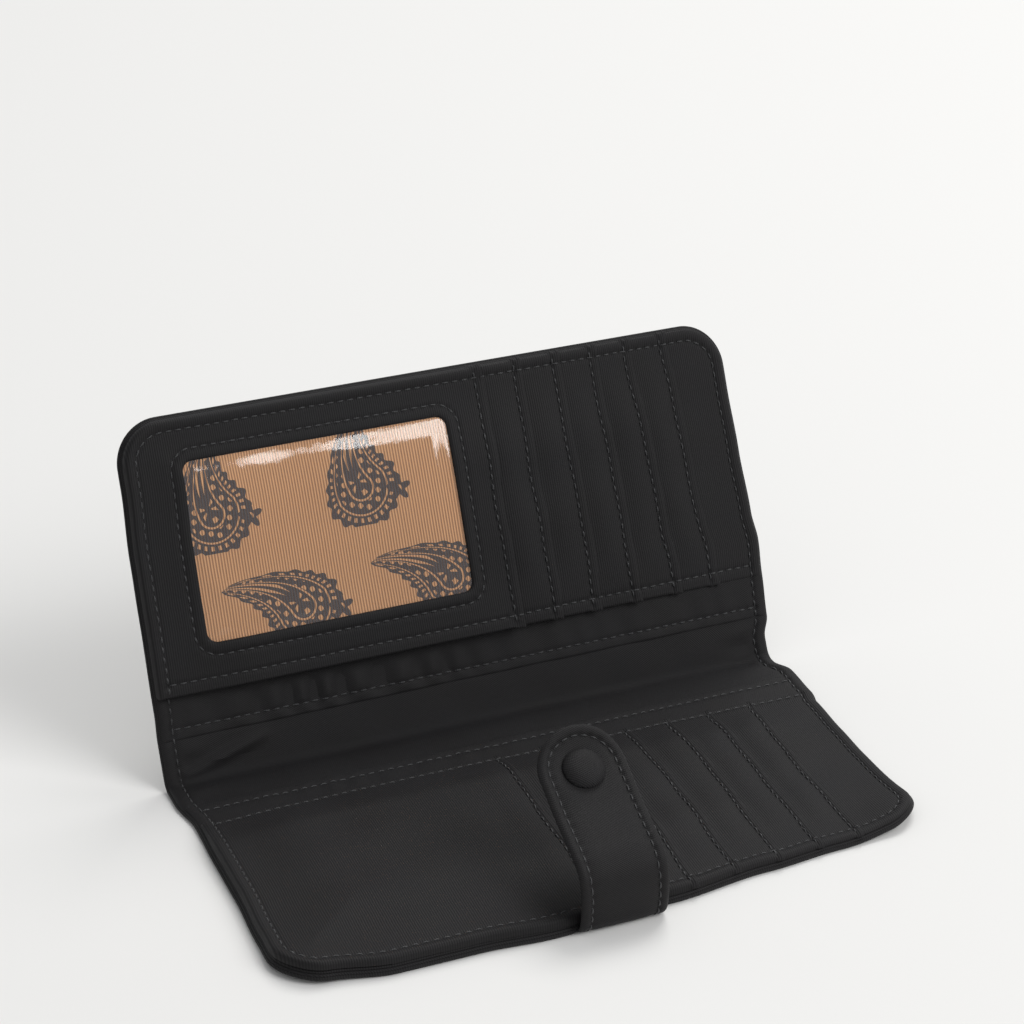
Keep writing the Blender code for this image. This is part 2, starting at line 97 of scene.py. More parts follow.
# %% Measures of the folded wallet
MM = 0.001
pivots = {joint["name"]: Vector(joint["pos_m"]) for joint in frame["joints"]}
inner_low, inner_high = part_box("lower_card_base")
HALF_WIDTH = inner_high.x
WIDTH = 2 * HALF_WIDTH
FRONT = inner_low.y
SPINE = pivots["spine_upper_hinge"] - pivots["spine_crease"]
LEAN = math.atan2(SPINE.z, SPINE.y)
LOWER_FOLD = pivots["spine_lower_hinge"].y - FRONT
CREASE = pivots["spine_crease"].y - FRONT
UPPER_FOLD = CREASE + SPINE.length


def unrolled(node):
    """Lowest and highest corner of a node on the unrolled wallet: across, along, height."""
    x, y, z = np.array([vertex.co for vertex in frame["nodes"][node].data.vertices]).T
    along, height = y - FRONT, z
    if frame["nodes"][node]["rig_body"] in ("spine_upper", "upper_panel"):
        past = along - CREASE
        along = CREASE + past * math.cos(LEAN) + z * math.sin(LEAN)
        height = z * math.cos(LEAN) - past * math.sin(LEAN)
    places = np.array([x + HALF_WIDTH, along, height])
    return places.min(axis=1), places.max(axis=1)


TOP_END = unrolled("upper_card_base")[1][1]
LIP = -unrolled("lower_cover")[0][0]
LINING_OUT = -unrolled("lower_lining")[0][0]
LINING_TOP = unrolled("lower_lining")[1][2]
COVER_TOP = unrolled("lower_cover")[1][2]
print("along: fold", LOWER_FOLD, "crease", CREASE, "fold", UPPER_FOLD, "end", TOP_END)

# %% [markdown]
# Folding: flat, then round a soft bend at the crease, then flat again on the leaning half.
# The lower half isn't quite flat on the table either. The tab pushes its front edge forward, the
# sewing draws both sides in a little, and the free corners curl up, the right one more. The tables
# give the bow of the front edge and the draw of each side as pairs of place and shift in
# millimetres, and a smooth curve runs between the pairs.

# %% The fold
BEND_RADIUS = 4.5 * MM
BEND_REACH = BEND_RADIUS * math.tan(LEAN / 2)
FRONT_BOW = ((0, -1.8), (11, -0.6), (29, 2.4), (51, 2.6), (72, 4.2), (106, 1.7), (136, -1.5), (160, -3.2),
             (190, -5.5))
BOW_REACH = 70 * MM
LEFT_DRAW = ((0, 0), (12, 0), (20, 0.3), (42, 1.2), (60, 1.3), (80, 1.8), (93, 0), (115, 0), (124, 0.4),
             (151, 0.8), (167, 1.0), (187, 1.9), (201, 2.0))
RIGHT_DRAW = ((0, 3.2), (38, 3.2), (54, 2.7), (72, 1.8), (78, 0.6), (91, 0), (97, 2.6), (109, 3.0),
              (115, 1.3), (128, 0.8), (138, 0.3), (147, 1.3), (166, 2.2), (186, 2.9), (200, 3.1))
DRAW_REACH = 60 * MM
CORNER_CURL = ((0.0, 1.2 * MM), (WIDTH, 2.6 * MM))
CURL_REACH = 34 * MM


def smooth(share):
    """0 below 0, 1 above 1 and an S curve between."""
    share = np.clip(share, 0, 1)
    return share * share * (3 - 2 * share)


def between(place, pairs):
    """Smooth value at a place, between pairs of place and value in millimetres."""
    places, values = np.array(pairs).T * MM
    index = np.clip(np.searchsorted(places, place, side="right") - 1, 0, len(places) - 2)
    share = smooth((place - places[index]) / (places[index + 1] - places[index]))
    return values[index] + (values[index + 1] - values[index]) * share


def folded(across, along, height):
    """Place in the room of a point of the unrolled wallet."""
    across, along, height = np.broadcast_arrays(across, along, height)
    bow = between(across, FRONT_BOW) * smooth(1 - along / BOW_REACH)
    from_left = between(along, LEFT_DRAW) * smooth(1 - across / DRAW_REACH)
    from_right = between(along, RIGHT_DRAW) * smooth(1 - (WIDTH - across) / DRAW_REACH)
    lift = np.zeros_like(across)
    for corner, curl in CORNER_CURL:
        distance = np.hypot(across - corner, along)
        lift = lift + curl * smooth(1 - distance / CURL_REACH) ** 2
    x = across - HALF_WIDTH + from_left - from_right
    before = np.minimum(along - bow, CREASE - BEND_REACH)
    after = np.maximum(along, CREASE + BEND_REACH) - (CREASE + BEND_REACH)
    turn = LEAN * np.clip((along - (CREASE - BEND_REACH)) / (2 * BEND_REACH), 0, 1)
    radius = BEND_RADIUS - height
    y = before + radius * np.sin(turn) + after * math.cos(LEAN)
    z = BEND_RADIUS - radius * np.cos(turn) + after * math.sin(LEAN)
    return np.stack([x, y + FRONT, z + lift], axis=-1)


print("crease sits at", folded(HALF_WIDTH, CREASE, 0.0).round(4))

# %% [markdown]
# How high a layer lies. In the middle of a panel it keeps the height of its plate. Near the seam
# that runs round the wallet all layers are pressed together, outside that seam the folded-in edges
# make a soft band, and at the outline the band rolls over. The hem behind the lower cards presses
# the stack too. All layers share these rules, so they never cross. A shared ripple keeps the cloth
# from looking like card.

# %% Heights of the sewn layers
CORNER = 12 * MM
SEAM_INSET = 3.4 * MM
PRESS = 0.6
PRESS_REACH = 26 * MM
HEM_PLACE = unrolled("lower_card_base")[1][1]
HEM_PRESS = 0.68
HEM_REACH = 15 * MM
BAND_RISE = 0.32 * MM
BAND_MIDDLE = 1.6 * MM
BAND_HALF = 2.0 * MM
ROLL_REACH = 1.3 * MM
ROLL_DEPTH = 0.6
LOOSE_HEIGHT = 0.28 * MM
LOOSE_WAVE = 26 * MM
RIPPLE_WAVES = 6


def inside_edge(across, along):
    """Distance inwards from the inner panels' outline, whose four corners are round."""
    side = np.abs(across - HALF_WIDTH) - HALF_WIDTH + CORNER
    end = np.abs(along - TOP_END / 2) - TOP_END / 2 + CORNER
    outward = np.hypot(np.maximum(side, 0), np.maximum(end, 0)) + np.minimum(np.maximum(side, end), 0)
    return CORNER - outward


def rounded(distance, reach):
    """A quarter round: 0 at an edge, 1 from reach inwards."""
    missing = 1 - np.clip(distance / reach, 0, 1)
    return np.sqrt(1 - missing ** 2)


def ripple(across, along, seed, size, wave):
    """Soft unevenness: a few crossing waves with seeded directions."""
    random = np.random.default_rng(seed)
    total = np.zeros(np.broadcast(across, along).shape)
    for _ in range(RIPPLE_WAVES):
        heading = random.uniform(0, math.pi)
        length = wave * random.uniform(0.7, 1.6)
        start = random.uniform(0, 2 * math.pi)
        phase = (across * math.cos(heading) + along * math.sin(heading)) / length * 2 * math.pi
        total += np.sin(phase + start)
    return size * total / RIPPLE_WAVES


def stacked(height, across, along):
    """Height of a sewn layer at a place, from its height in the middle of the panel."""
    inside = inside_edge(across, along)
    pressed = PRESS + (1 - PRESS) * smooth((inside - SEAM_INSET) / PRESS_REACH)
    pressed = pressed * (1 - HEM_PRESS * smooth(1 - np.abs(along - HEM_PLACE) / HEM_REACH))
    band = BAND_RISE * np.maximum(1 - ((inside - BAND_MIDDLE) / BAND_HALF) ** 2, 0)
    loose = ripple(across, along, 3, LOOSE_HEIGHT, LOOSE_WAVE) * smooth(inside / PRESS_REACH)
    rolled = 1 - ROLL_DEPTH * (1 - rounded(inside, ROLL_REACH))
    return LINING_TOP + ((height - LINING_TOP) * pressed + band + loose) * rolled


# %% [markdown]
# A seam is a path on the unrolled wallet. It pulls the cloth down into a groove that is deepest at
# the needle holes, and the thread that shows between two holes is a short fat capsule.
# The same path makes both, so every stitch lies in its own dent.

# %% Seams
STITCH_PITCH = 2.9 * MM
GROOVE_DEPTH = 0.34 * MM
GROOVE_WIDTH = 0.75 * MM
HOLE_SHARE = 0.38


class Seam:
    """A sewn line: points on the unrolled wallet, and the arc length at each."""

    def __init__(self, points, closed=False):
        if closed:
            points = [*points, points[0]]
        self.points = np.array(points, float)
        steps = np.hypot(*np.diff(self.points, axis=0).T)
        self.reach = np.concatenate([[0], np.cumsum(steps)])
        self.length = self.reach[-1]
        self.pitch = self.length / max(1, round(self.length / STITCH_PITCH))

    def near(self, across, along):
        """Distance to the seam, and the arc length of its nearest point."""
        best = np.full(np.shape(across), 1.0)
        place = np.zeros(np.shape(across))
        for start, end, begun in zip(self.points[:-1], self.points[1:], self.reach):
            step = end - start
            length = math.hypot(*step)
            if length == 0:
                continue
            share = ((across - start[0]) * step[0] + (along - start[1]) * step[1]) / length ** 2
            share = np.clip(share, 0, 1)
            distance = np.hypot(across - start[0] - share * step[0], along - start[1] - share * step[1])
            closer = distance < best
            best = np.where(closer, distance, best)
            place = np.where(closer, begun + share * length, place)
        return best, place

    def at(self, place):
        """Point of the seam at an arc length."""
        return np.array([np.interp(place, self.reach, self.points[:, axis]) for axis in (0, 1)])

    def groove(self, across, along):
        """How far the seam pulls the cloth down."""
        distance, place = self.near(across, along)
        hole = 1 - HOLE_SHARE + HOLE_SHARE * np.cos(2 * math.pi * place / self.pitch)
        return GROOVE_DEPTH * hole * np.exp(-(distance / GROOVE_WIDTH) ** 2)


def rounded_path(left, right, near, far, radii, steps=8):
    """Closed path of a rectangle; radii run near left, near right, far right, far left."""
    path = []
    corners = ((left, near, 1, 1), (right, near, -1, 1), (right, far, -1, -1), (left, far, 1, -1))
    for index, ((x, y, inward_x, inward_y), radius) in enumerate(zip(corners, radii)):
        for step in range(steps + 1):
            angle = math.pi * (1 + index / 2 + step / steps / 2)
            path.append((x + radius * (inward_x + math.cos(angle)),
                         y + radius * (inward_y + math.sin(angle))))
    return path


def line_seam(along):
    """A seam straight across the wallet, between the two sides of the edge seam."""
    return Seam([(SEAM_INSET, along), (WIDTH - SEAM_INSET, along)])


edge_seam = Seam(rounded_path(SEAM_INSET, WIDTH - SEAM_INSET, SEAM_INSET, TOP_END - SEAM_INSET,
                              [CORNER - SEAM_INSET] * 4), closed=True)
hems = {
    "lower_strip": line_seam(unrolled("lower_banknote_pocket")[1][1] - 3.0 * MM),
    "lower_cards": line_seam(unrolled("lower_card_base")[1][1] - 1.5 * MM),
    "upper_strip": line_seam(unrolled("upper_banknote_pocket")[0][1] + 3.0 * MM),
    "upper_cards": line_seam(unrolled("upper_card_base")[0][1] + 3.4 * MM),
}
print("edge seam", round(edge_seam.length, 4), "m,", round(edge_seam.length / edge_seam.pitch), "stitches")

# %% [markdown]
# Each sheet is a grid of points. The grid lines are drawn closer where the cloth bends sharply, at
# seams and edges, which costs far fewer faces than a fine grid everywhere.
# The grid has an upper and a lower side joined all round, so every sheet is a closed shell.
# A map on each mesh keeps the flat place of every corner, from which the weave is drawn.

# %% Sheets of cloth
SHEET = 0.22 * MM
COARSE = 1.0 * MM
FINE = 0.32 * MM


def ticks(start, end, close=(), coarse=COARSE, fine=FINE, reach=1.3 * MM):
    """Places from start to end, closer together round those in close."""
    line = np.linspace(start, end, 3000)
    density = np.full_like(line, 1 / coarse)
    for place in close:
        nearness = np.exp(-((line - place) / reach) ** 2)
        density = np.maximum(density, 1 / coarse + (1 / fine - 1 / coarse) * nearness)
    counted = np.concatenate([[0], np.cumsum((density[1:] + density[:-1]) / 2 * np.diff(line))])
    return np.interp(np.linspace(0, counted[-1], int(round(counted[-1])) + 1), counted, line)


def round_off(across, along, left, right, near, far, radii):
    """Moves the grid's corners onto arcs; radii as in rounded_path."""
    corners = ((left, near, 1, 1), (right, near, -1, 1), (right, far, -1, -1), (left, far, 1, -1))
    for (x, y, inward_x, inward_y), radius in zip(corners, radii):
        if radius == 0:
            continue
        a = 1 - (across - x) * inward_x / radius
        b = 1 - (along - y) * inward_y / radius
        inner = (a > 0) & (b > 0)
        scale = np.where(inner, np.maximum(a, b) / np.maximum(np.hypot(a, b), 1e-9), 1)
        across = np.where(inner, x + inward_x * radius * (1 - a * scale), across)
        along = np.where(inner, y + inward_y * radius * (1 - b * scale), along)
    return across, along


def piece_of(name, points, faces, flat, sharp=50):
    """A linked piece: faces outwards, smooth shading between gentle faces, flat places as its map."""
    mesh = bpy.data.meshes.new(name)
    mesh.from_pydata(points.tolist(), [], faces)
    corners = np.empty(len(mesh.loops), int)
    mesh.loops.foreach_get("vertex_index", corners)
    cloth = mesh.uv_layers.new(name="Cloth")
    cloth.data.foreach_set("uv", flat[corners].astype(np.float32).ravel())
    mesh.validate()
    mesh.calc_loop_triangles()
    triangles = np.empty(len(mesh.loop_triangles) * 3, int)
    mesh.loop_triangles.foreach_get("vertices", triangles)
    one, two, three = points[triangles.reshape(-1, 3).T]
    volume = np.einsum("ij,ij->i", one, np.cross(two, three)).sum()
    if volume < 0:
        mesh.flip_normals()
    mesh.shade_smooth()
    mesh.set_sharp_from_angle(angle=math.radians(sharp))
    piece = bpy.data.objects.new(name, mesh)
    bpy.context.scene.collection.objects.link(piece)
    return piece


def shell(name, across, along, top, bottom, place=folded, ring=False):
    """Closed mesh between two heights of a grid; a ring grid joins its last row to its first."""
    rows, columns = across.shape
    upper = place(across, along, top).reshape(-1, 3)
    lower = place(across, along, bottom).reshape(-1, 3)
    count = rows * columns
    index = np.arange(count).reshape(rows, columns)
    if ring:
        index = np.vstack([index, index[:1]])
    a, b, c, d = index[:-1, :-1], index[1:, :-1], index[1:, 1:], index[:-1, 1:]
    faces = [np.stack([a, b, c, d], -1).reshape(-1, 4), np.stack([d, c, b, a], -1).reshape(-1, 4) + count]
    rims = [index[:, 0][::-1], index[:, -1]]
    if not ring:
        rims += [index[0], index[-1][::-1]]
    for rim in rims:
        faces.append(np.stack([rim[:-1], rim[1:], rim[1:] + count, rim[:-1] + count], -1))
    flat = np.stack([across.ravel(), along.ravel()], -1)
    return piece_of(name, np.concatenate([upper, lower]), np.concatenate(faces).tolist(),
                    np.concatenate([flat, flat]))


def dress(piece, material, slot, body=None, nodes=()):
    """Gives a piece its material, the body it rides on and the plates it stands for. The slot is not used.
    """
    piece.data.materials.append(material)
    if nodes:
        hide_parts(*nodes)
    if body:
        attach(piece, body)
    return piece


# %% [markdown]
# Shader arithmetic. A socket wrapped in a small class can be added and multiplied like a number,
# so that a weave or a printed motif reads as a formula instead of a tangle of nodes.

# %% Shader arithmetic
class Amount:
    """A value that varies over a surface."""

    def __init__(self, finish, socket):
        self.finish = finish
        self.socket = socket

    def combine(self, operation, *values):
        return self.finish.add("ShaderNodeMath", {"operation": operation}, list(values))

    def __add__(self, other):
        return self.combine("ADD", self, other)

    def __radd__(self, other):
        return self.combine("ADD", other, self)

    def __sub__(self, other):
        return self.combine("SUBTRACT", self, other)

    def __rsub__(self, other):
        return self.combine("SUBTRACT", other, self)

    def __mul__(self, other):
        return self.combine("MULTIPLY", self, other)

    def __rmul__(self, other):
        return self.combine("MULTIPLY", other, self)

    def __truediv__(self, other):
        return self.combine("DIVIDE", self, other)

    def __pow__(self, other):
        return self.combine("POWER", self, other)

    def below(self, limit):
        return self.combine("LESS_THAN", self, limit)

    def above(self, limit):
        return self.combine("GREATER_THAN", self, limit)

    def least(self, other):
        return self.combine("MINIMUM", self, other)

    def most(self, other):
        return self.combine("MAXIMUM", self, other)

    def cosine(self):
        return self.combine("COSINE", self)

    def repeated(self, length):
        return self.combine("FLOORED_MODULO", self, length)


class Finish:
    """A material under construction, with one Principled shader."""

    def __init__(self, name, **constants):
        self.material = bpy.data.materials.new(name)
        self.material.use_nodes = True
        self.tree = self.material.node_tree
        self.shader = self.tree.nodes["Principled BSDF"]
        for socket, value in constants.items():
            self.shader.inputs[socket.replace("_", " ")].default_value = value

    def add(self, kind, settings=None, values=(), output=0):
        """A node of any type: its settings first, then the values or links of its sockets."""
        node = self.tree.nodes.new(kind)
        for name, value in (settings or {}).items():
            setattr(node, name, value)
        pairs = values.items() if isinstance(values, dict) else enumerate(values)
        for name, value in pairs:
            self.feed(node.inputs[name], value)
        return Amount(self, node.outputs[output])

    def feed(self, socket, value):
        if isinstance(value, Amount):
            self.tree.links.new(value.socket, socket)
        else:
            socket.default_value = value

    def mix(self, amount, first, second):
        """Colour from first, at 0, to second, at 1."""
        return self.add("ShaderNodeMix", {"data_type": "RGBA"}, {0: amount, 6: first, 7: second}, output=2)

    def cloth_place(self):
        """Across and along on the unrolled wallet, in metres, from the sheet's own map."""
        place = self.add("ShaderNodeUVMap", {"uv_map": "Cloth"})
        across = self.add("ShaderNodeSeparateXYZ", values=[place], output=0)
        along = self.add("ShaderNodeSeparateXYZ", values=[place], output=1)
        return place, across, along

    def noise(self, place, scale, detail=3.0):
        values = {"Vector": place, "Scale": scale, "Detail": detail, "Roughness": 0.55}
        return self.add("ShaderNodeTexNoise", values=values)

    def bump(self, height, distance):
        values = {"Height": height, "Distance": distance, "Strength": 1.0}
        return self.add("ShaderNodeBump", values=values)

    def wear(self, **links):
        for socket, value in links.items():
            self.feed(self.shader.inputs[socket.replace("_", " ")], value)
        return self.material


# %% [markdown]
# The black cloth is a light nylon. On the panels it has fine upright ribs, on the lining, the
# strips and the tab a fine slanting twill that shimmers. Nylon has a sheen at grazing light, and
# its black is uneven: slightly brown where it is rubbed and slightly blue where it is new.

# %% Cloth finishes
RIB_PITCH = 0.66 * MM
TWILL_PITCH = 0.62 * MM
TURN = 2 * math.pi


def black_cloth(name, weave, depth=0.05 * MM):
    finish = Finish(name, Specular_IOR_Level=0.16, Sheen_Weight=0.025, Sheen_Roughness=0.4,
                    Sheen_Tint=(0.75, 0.77, 0.85, 1))
    place, across, along = finish.cloth_place()
    waver = finish.noise(place, 140.0, 2.0) * (0.5 * TURN)
    if weave == "rib":
        threads = (across * (TURN / RIB_PITCH) + waver).cosine() * 0.5 + 0.5
        crossing = (along * (TURN / (0.55 * RIB_PITCH))).cosine() * 0.14
    else:
        threads = ((across * 0.85 + along) * (TURN / TWILL_PITCH) + waver).cosine() * 0.5 + 0.5
        crossing = ((across - along * 0.6) * (TURN / TWILL_PITCH)).cosine() * 0.22
    patches = finish.noise(place, 55.0, 3.0)
    slubs = finish.noise(place, 900.0, 2.0)
    dark = finish.mix(patches, (0.0062, 0.0056, 0.0056, 1), (0.0095, 0.0092, 0.0100, 1))
    light = finish.mix(patches, (0.0150, 0.0136, 0.0134, 1), (0.0205, 0.0202, 0.0218, 1))
    colour = finish.mix((threads * 0.75 + slubs * 0.35).least(1.0), dark, light)
    normal = finish.bump(threads + crossing + slubs * 0.35, depth)
    return finish.wear(Base_Color=colour, Roughness=0.56 + patches * 0.16 - threads * 0.08, Normal=normal)


ribbed = black_cloth("ribbed_nylon", "rib")
twill = black_cloth("twill_nylon", "twill", depth=0.045 * MM)


def thread_finish():
    """Waxed polyester thread: two plies, so that it has slanting ridges."""
    finish = Finish("sewing_thread", Specular_IOR_Level=0.4, Sheen_Weight=0.08)
    place, across, along = finish.cloth_place()
    plies = ((across + along * 0.35) * (TURN / (0.5 * MM))).cosine() * 0.5 + 0.5
    colour = finish.mix(plies, (0.015, 0.015, 0.0155, 1), (0.052, 0.052, 0.055, 1))
    normal = finish.bump(plies, 0.06 * MM)
    return finish.wear(Base_Color=colour, Roughness=0.42 + plies * 0.1, Normal=normal)


thread = thread_finish()
print("finishes", ribbed.name, twill.name, thread.name)

# %% [markdown]
# Stitches. Every seam becomes one mesh of capsules: a ring of seven points swept along each stitch,
# thin and sunk at both ends where the thread goes through the cloth.

# %% Thread
THREAD_RADIUS = 0.24 * MM
STITCH_SHARE = 0.74
STITCH_SKEW = 0.05
STITCH_SLIP = 0.06 * MM
PATH_STEP = 0.3 * MM
RINGS = 7
SIDES = 7


def stitches(name, seam, face, place=folded, span=None, side=1):
    """Capsules along a seam, lying on the height that face gives; span limits them along the wallet."""
    random = np.random.default_rng(len(name) * 7 + 1)
    middles = (np.arange(round(seam.length / seam.pitch)) + 0.5) * seam.pitch
    swing = random.uniform(-STITCH_SKEW, STITCH_SKEW, len(middles))
    slip = random.uniform(-STITCH_SLIP, STITCH_SLIP, len(middles))
    centres = seam.at(middles).T
    if span:
        kept = (centres[:, 1] >= span[0]) & (centres[:, 1] < span[1])
        if not kept.any():
            return None
        middles, swing, slip, centres = middles[kept], swing[kept], slip[kept], centres[kept]
    after = seam.at(np.minimum(middles + PATH_STEP, seam.length))
    ahead = (after - seam.at(np.maximum(middles - PATH_STEP, 0))).T
    heading = np.arctan2(ahead[:, 1], ahead[:, 0]) + swing
    forward = np.stack([np.cos(heading), np.sin(heading)], -1)[:, None, None]
    sideways = np.stack([-np.sin(heading), np.cos(heading)], -1)[:, None, None]
    ring = np.linspace(-1, 1, RINGS)[None, :, None]
    angle = np.linspace(0, TURN, SIDES, endpoint=False)[None, None, :]
    middle_line = centres[:, None, None] + sideways * slip[:, None, None, None]
    middle_line = middle_line + forward * ring[..., None] * seam.pitch * STITCH_SHARE / 2
    fat = THREAD_RADIUS * np.sqrt(np.maximum(1 - np.abs(ring) ** 3.2, 0.03))
    rest = face(middle_line[..., 0], middle_line[..., 1])
    rest = rest + side * (0.1 - 0.16 * np.abs(ring) ** 3) * MM
    outer = middle_line + sideways * (fat * np.cos(angle))[..., None]
    points = np.stack([outer[..., 0], outer[..., 1], rest + fat * np.sin(angle) * 0.85], -1).reshape(-1, 3)
    flat = middle_line + sideways * (fat * angle)[..., None]
    size = RINGS * SIDES
    turns = np.arange(SIDES)
    tube = [(here + t, here + (t + 1) % SIDES, here + SIDES + (t + 1) % SIDES, here + SIDES + t)
            for here in range(0, size - SIDES, SIDES) for t in turns]
    caps = [tuple(turns[::-1]), tuple(turns + size - SIDES)]
    faces = [tuple(int(corner) + base for corner in face_corners)
             for base in range(0, len(centres) * size, size) for face_corners in tube + caps]
    return piece_of(name, place(*points.T), faces, flat.reshape(-1, 2), sharp=75)


# %% [markdown]
# Cover and lining run unbroken from the front edge over the spine to the top edge, and the spine
# folds in three places. Each is made in three lengths that meet in the middle of a spine half, and
# each length holds one of the folds. The lining's edges swell into the side bands.

# %% Cover and lining
SPINE_LOW = LOWER_FOLD + (CREASE - LOWER_FOLD) / 2
SPINE_HIGH = CREASE + (UPPER_FOLD - CREASE) / 2
BLEND_HALF = 3 * MM
COVER_EDGE = 0.55 * MM
WRINKLE_HEIGHT = 1.1 * MM
WRINKLE_WIDTH = 1.5 * MM
FAN_HEIGHT = 0.22 * MM
FAN_PITCH = 1.3 * MM
wrinkle_line = Seam([(4 * MM, CREASE + 3.0 * MM), (31 * MM, CREASE + 10.5 * MM)])
STRIP_BACK = unrolled("lower_banknote_pocket")[1][1]
STRIP_BOTTOM = unrolled("upper_banknote_pocket")[0][1]
LINING_RIM = COVER_TOP - 0.05 * MM
root_low, root_high = unrolled("tab_root")


def cover_outside(across, along):
    """Height of the cover's outer face: its sewn groove, its rounded rim and the tab root's bed."""
    inside = inside_edge(across, along) + LIP
    rim = COVER_TOP / 2 * (1 - rounded(inside, COVER_EDGE))
    beside = np.maximum(root_low[0] - across, across - root_high[0])
    bed = root_high[2] * 1.3 * smooth(1 - np.maximum(beside, along - root_high[1]) / (1 * MM))
    return np.maximum(rim + edge_seam.groove(across, along) * 0.8, bed * (along < LOWER_FOLD))


def cover_inside(across, along):
    inside = inside_edge(across, along) + LIP
    return COVER_TOP - COVER_TOP / 2 * (1 - rounded(inside, COVER_EDGE))


def lining_face(across, along):
    """Height of the lining: side bands and wrinkles show only where no pocket covers it."""
    inside = inside_edge(across, along)
    shown = smooth((along - STRIP_BACK + 1 * MM) / (2 * MM))
    shown = shown * smooth((STRIP_BOTTOM + 1 * MM - along) / (2 * MM))
    band = 1.5 * BAND_RISE * np.maximum(1 - ((inside - BAND_MIDDLE) / BAND_HALF) ** 2, 0)
    distance, place = wrinkle_line.near(across, along)
    fade = np.sin(math.pi * np.clip(place / wrinkle_line.length, 0, 1)) ** 0.7
    wrinkle = WRINKLE_HEIGHT * np.exp(-(distance / WRINKLE_WIDTH) ** 2) * fade
    from_end = np.minimum(across, WIDTH - across)
    fans = FAN_HEIGHT * np.sin((along - CREASE) / FAN_PITCH) * np.exp(-((from_end - 8 * MM) / (5 * MM)) ** 2)
    soft = ripple(across, along, 8, 0.3 * MM, 22 * MM)
    raised = (band + wrinkle + (fans + soft) * smooth((inside - 3 * MM) / (4 * MM))) * shown
    height = LINING_TOP + raised - edge_seam.groove(across, along) * shown
    rim = rounded(inside + LINING_OUT, 0.8 * MM)
    return LINING_RIM + (height - LINING_RIM) * rim


def lining_back(across, along):
    rim = rounded(inside_edge(across, along) + LINING_OUT + 0.1 * MM, 0.4 * MM)
    return lining_face(across, along) - SHEET * rim


def long_sheet(name, out, near, far, face, under):
    """A length of cover or lining that stands out past the inner panels by out."""
    left, right, start, end = -out, WIDTH + out, -out, TOP_END + out
    seam_lines = (SEAM_INSET, WIDTH - SEAM_INSET)
    columns = ticks(left, right, (left, right, *seam_lines, 8 * MM, WIDTH - 8 * MM))
    close = (start, end, SEAM_INSET, TOP_END - SEAM_INSET, CREASE)
    rows = ticks(near, far, [place for place in close if near <= place <= far])
    across, along = np.meshgrid(columns, rows)
    across, along = round_off(across, along, left, right, start, end, [CORNER + out] * 4)
    return shell(name, across, along, face(across, along), under(across, along))


def bends(piece, lower_body, upper_body, fold):
    """Bakes the piece's place into its mesh; the piece is not bent across the fold or tied to either body.
    """
    start, end = (Vector(folded(HALF_WIDTH, fold + shift, 0.0)) for shift in (-BLEND_HALF, BLEND_HALF))
    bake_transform(piece)


LENGTHS = (
    ("lower", None, SPINE_LOW, "lower_panel", "spine_lower", LOWER_FOLD),
    ("crease", SPINE_LOW, SPINE_HIGH, "spine_lower", "spine_upper", CREASE),
    ("upper", SPINE_HIGH, None, "spine_upper", "upper_panel", UPPER_FOLD),
)
STANDS_FOR = {
    "lower": ("lower_{}", "spine_lower_{}"),
    "crease": ("spine_lower_{}", "spine_upper_{}"),
    "upper": ("spine_upper_{}", "upper_{}"),
}
CLOTHS = (
    ("cover", LIP, cover_inside, cover_outside, ribbed),
    ("lining", LINING_OUT, lining_face, lining_back, twill),
)
for length, near, far, body, next_body, fold in LENGTHS:
    for cloth, out, face, back, material in CLOTHS:
        start = -out if near is None else near
        end = TOP_END + out if far is None else far
        piece = long_sheet(f"{length}_{cloth}_cloth", out, start, end, face, back)
        dress(piece, material, cloth + "_cloth", nodes=[node.format(cloth) for node in STANDS_FOR[length]])
        bends(piece, body, next_body, fold)
        print(piece.name, len(piece.data.polygons), "faces")

# %% [markdown]
# The pockets. Every pocket is a sheet that ends in a turned-back mouth: a ridge two or three
# millimetres wide with a seam behind it. The sheets lie like stairs, so one class can make them
# all from the plates of the frame: left end, mouth, near and far edge, and height.
# The mouths aren't quite straight, because each was guided through the machine by hand.

# %% Pocket sheets
TURNED_BACK = {"lower_panel": 1.9 * MM, "upper_panel": 2.7 * MM}
HEM_RISE = 0.34 * MM
MOUTH_ROUND = 0.3 * MM
FREE_ROUND = 0.45 * MM
PUFF = 0.42 * MM
PUFF_WIDTH = 9.5 * MM
PUFF_ENDS = 18 * MM
PUCKER_PITCH = 1.55 * MM
PUCKER_MIDDLE = 55 * MM
PUCKER_SPREAD = 34 * MM
PUCKER_DEPTH = 11 * MM
NUB = 0.6 * MM
sheets = {"lower_panel": [], "upper_panel": []}


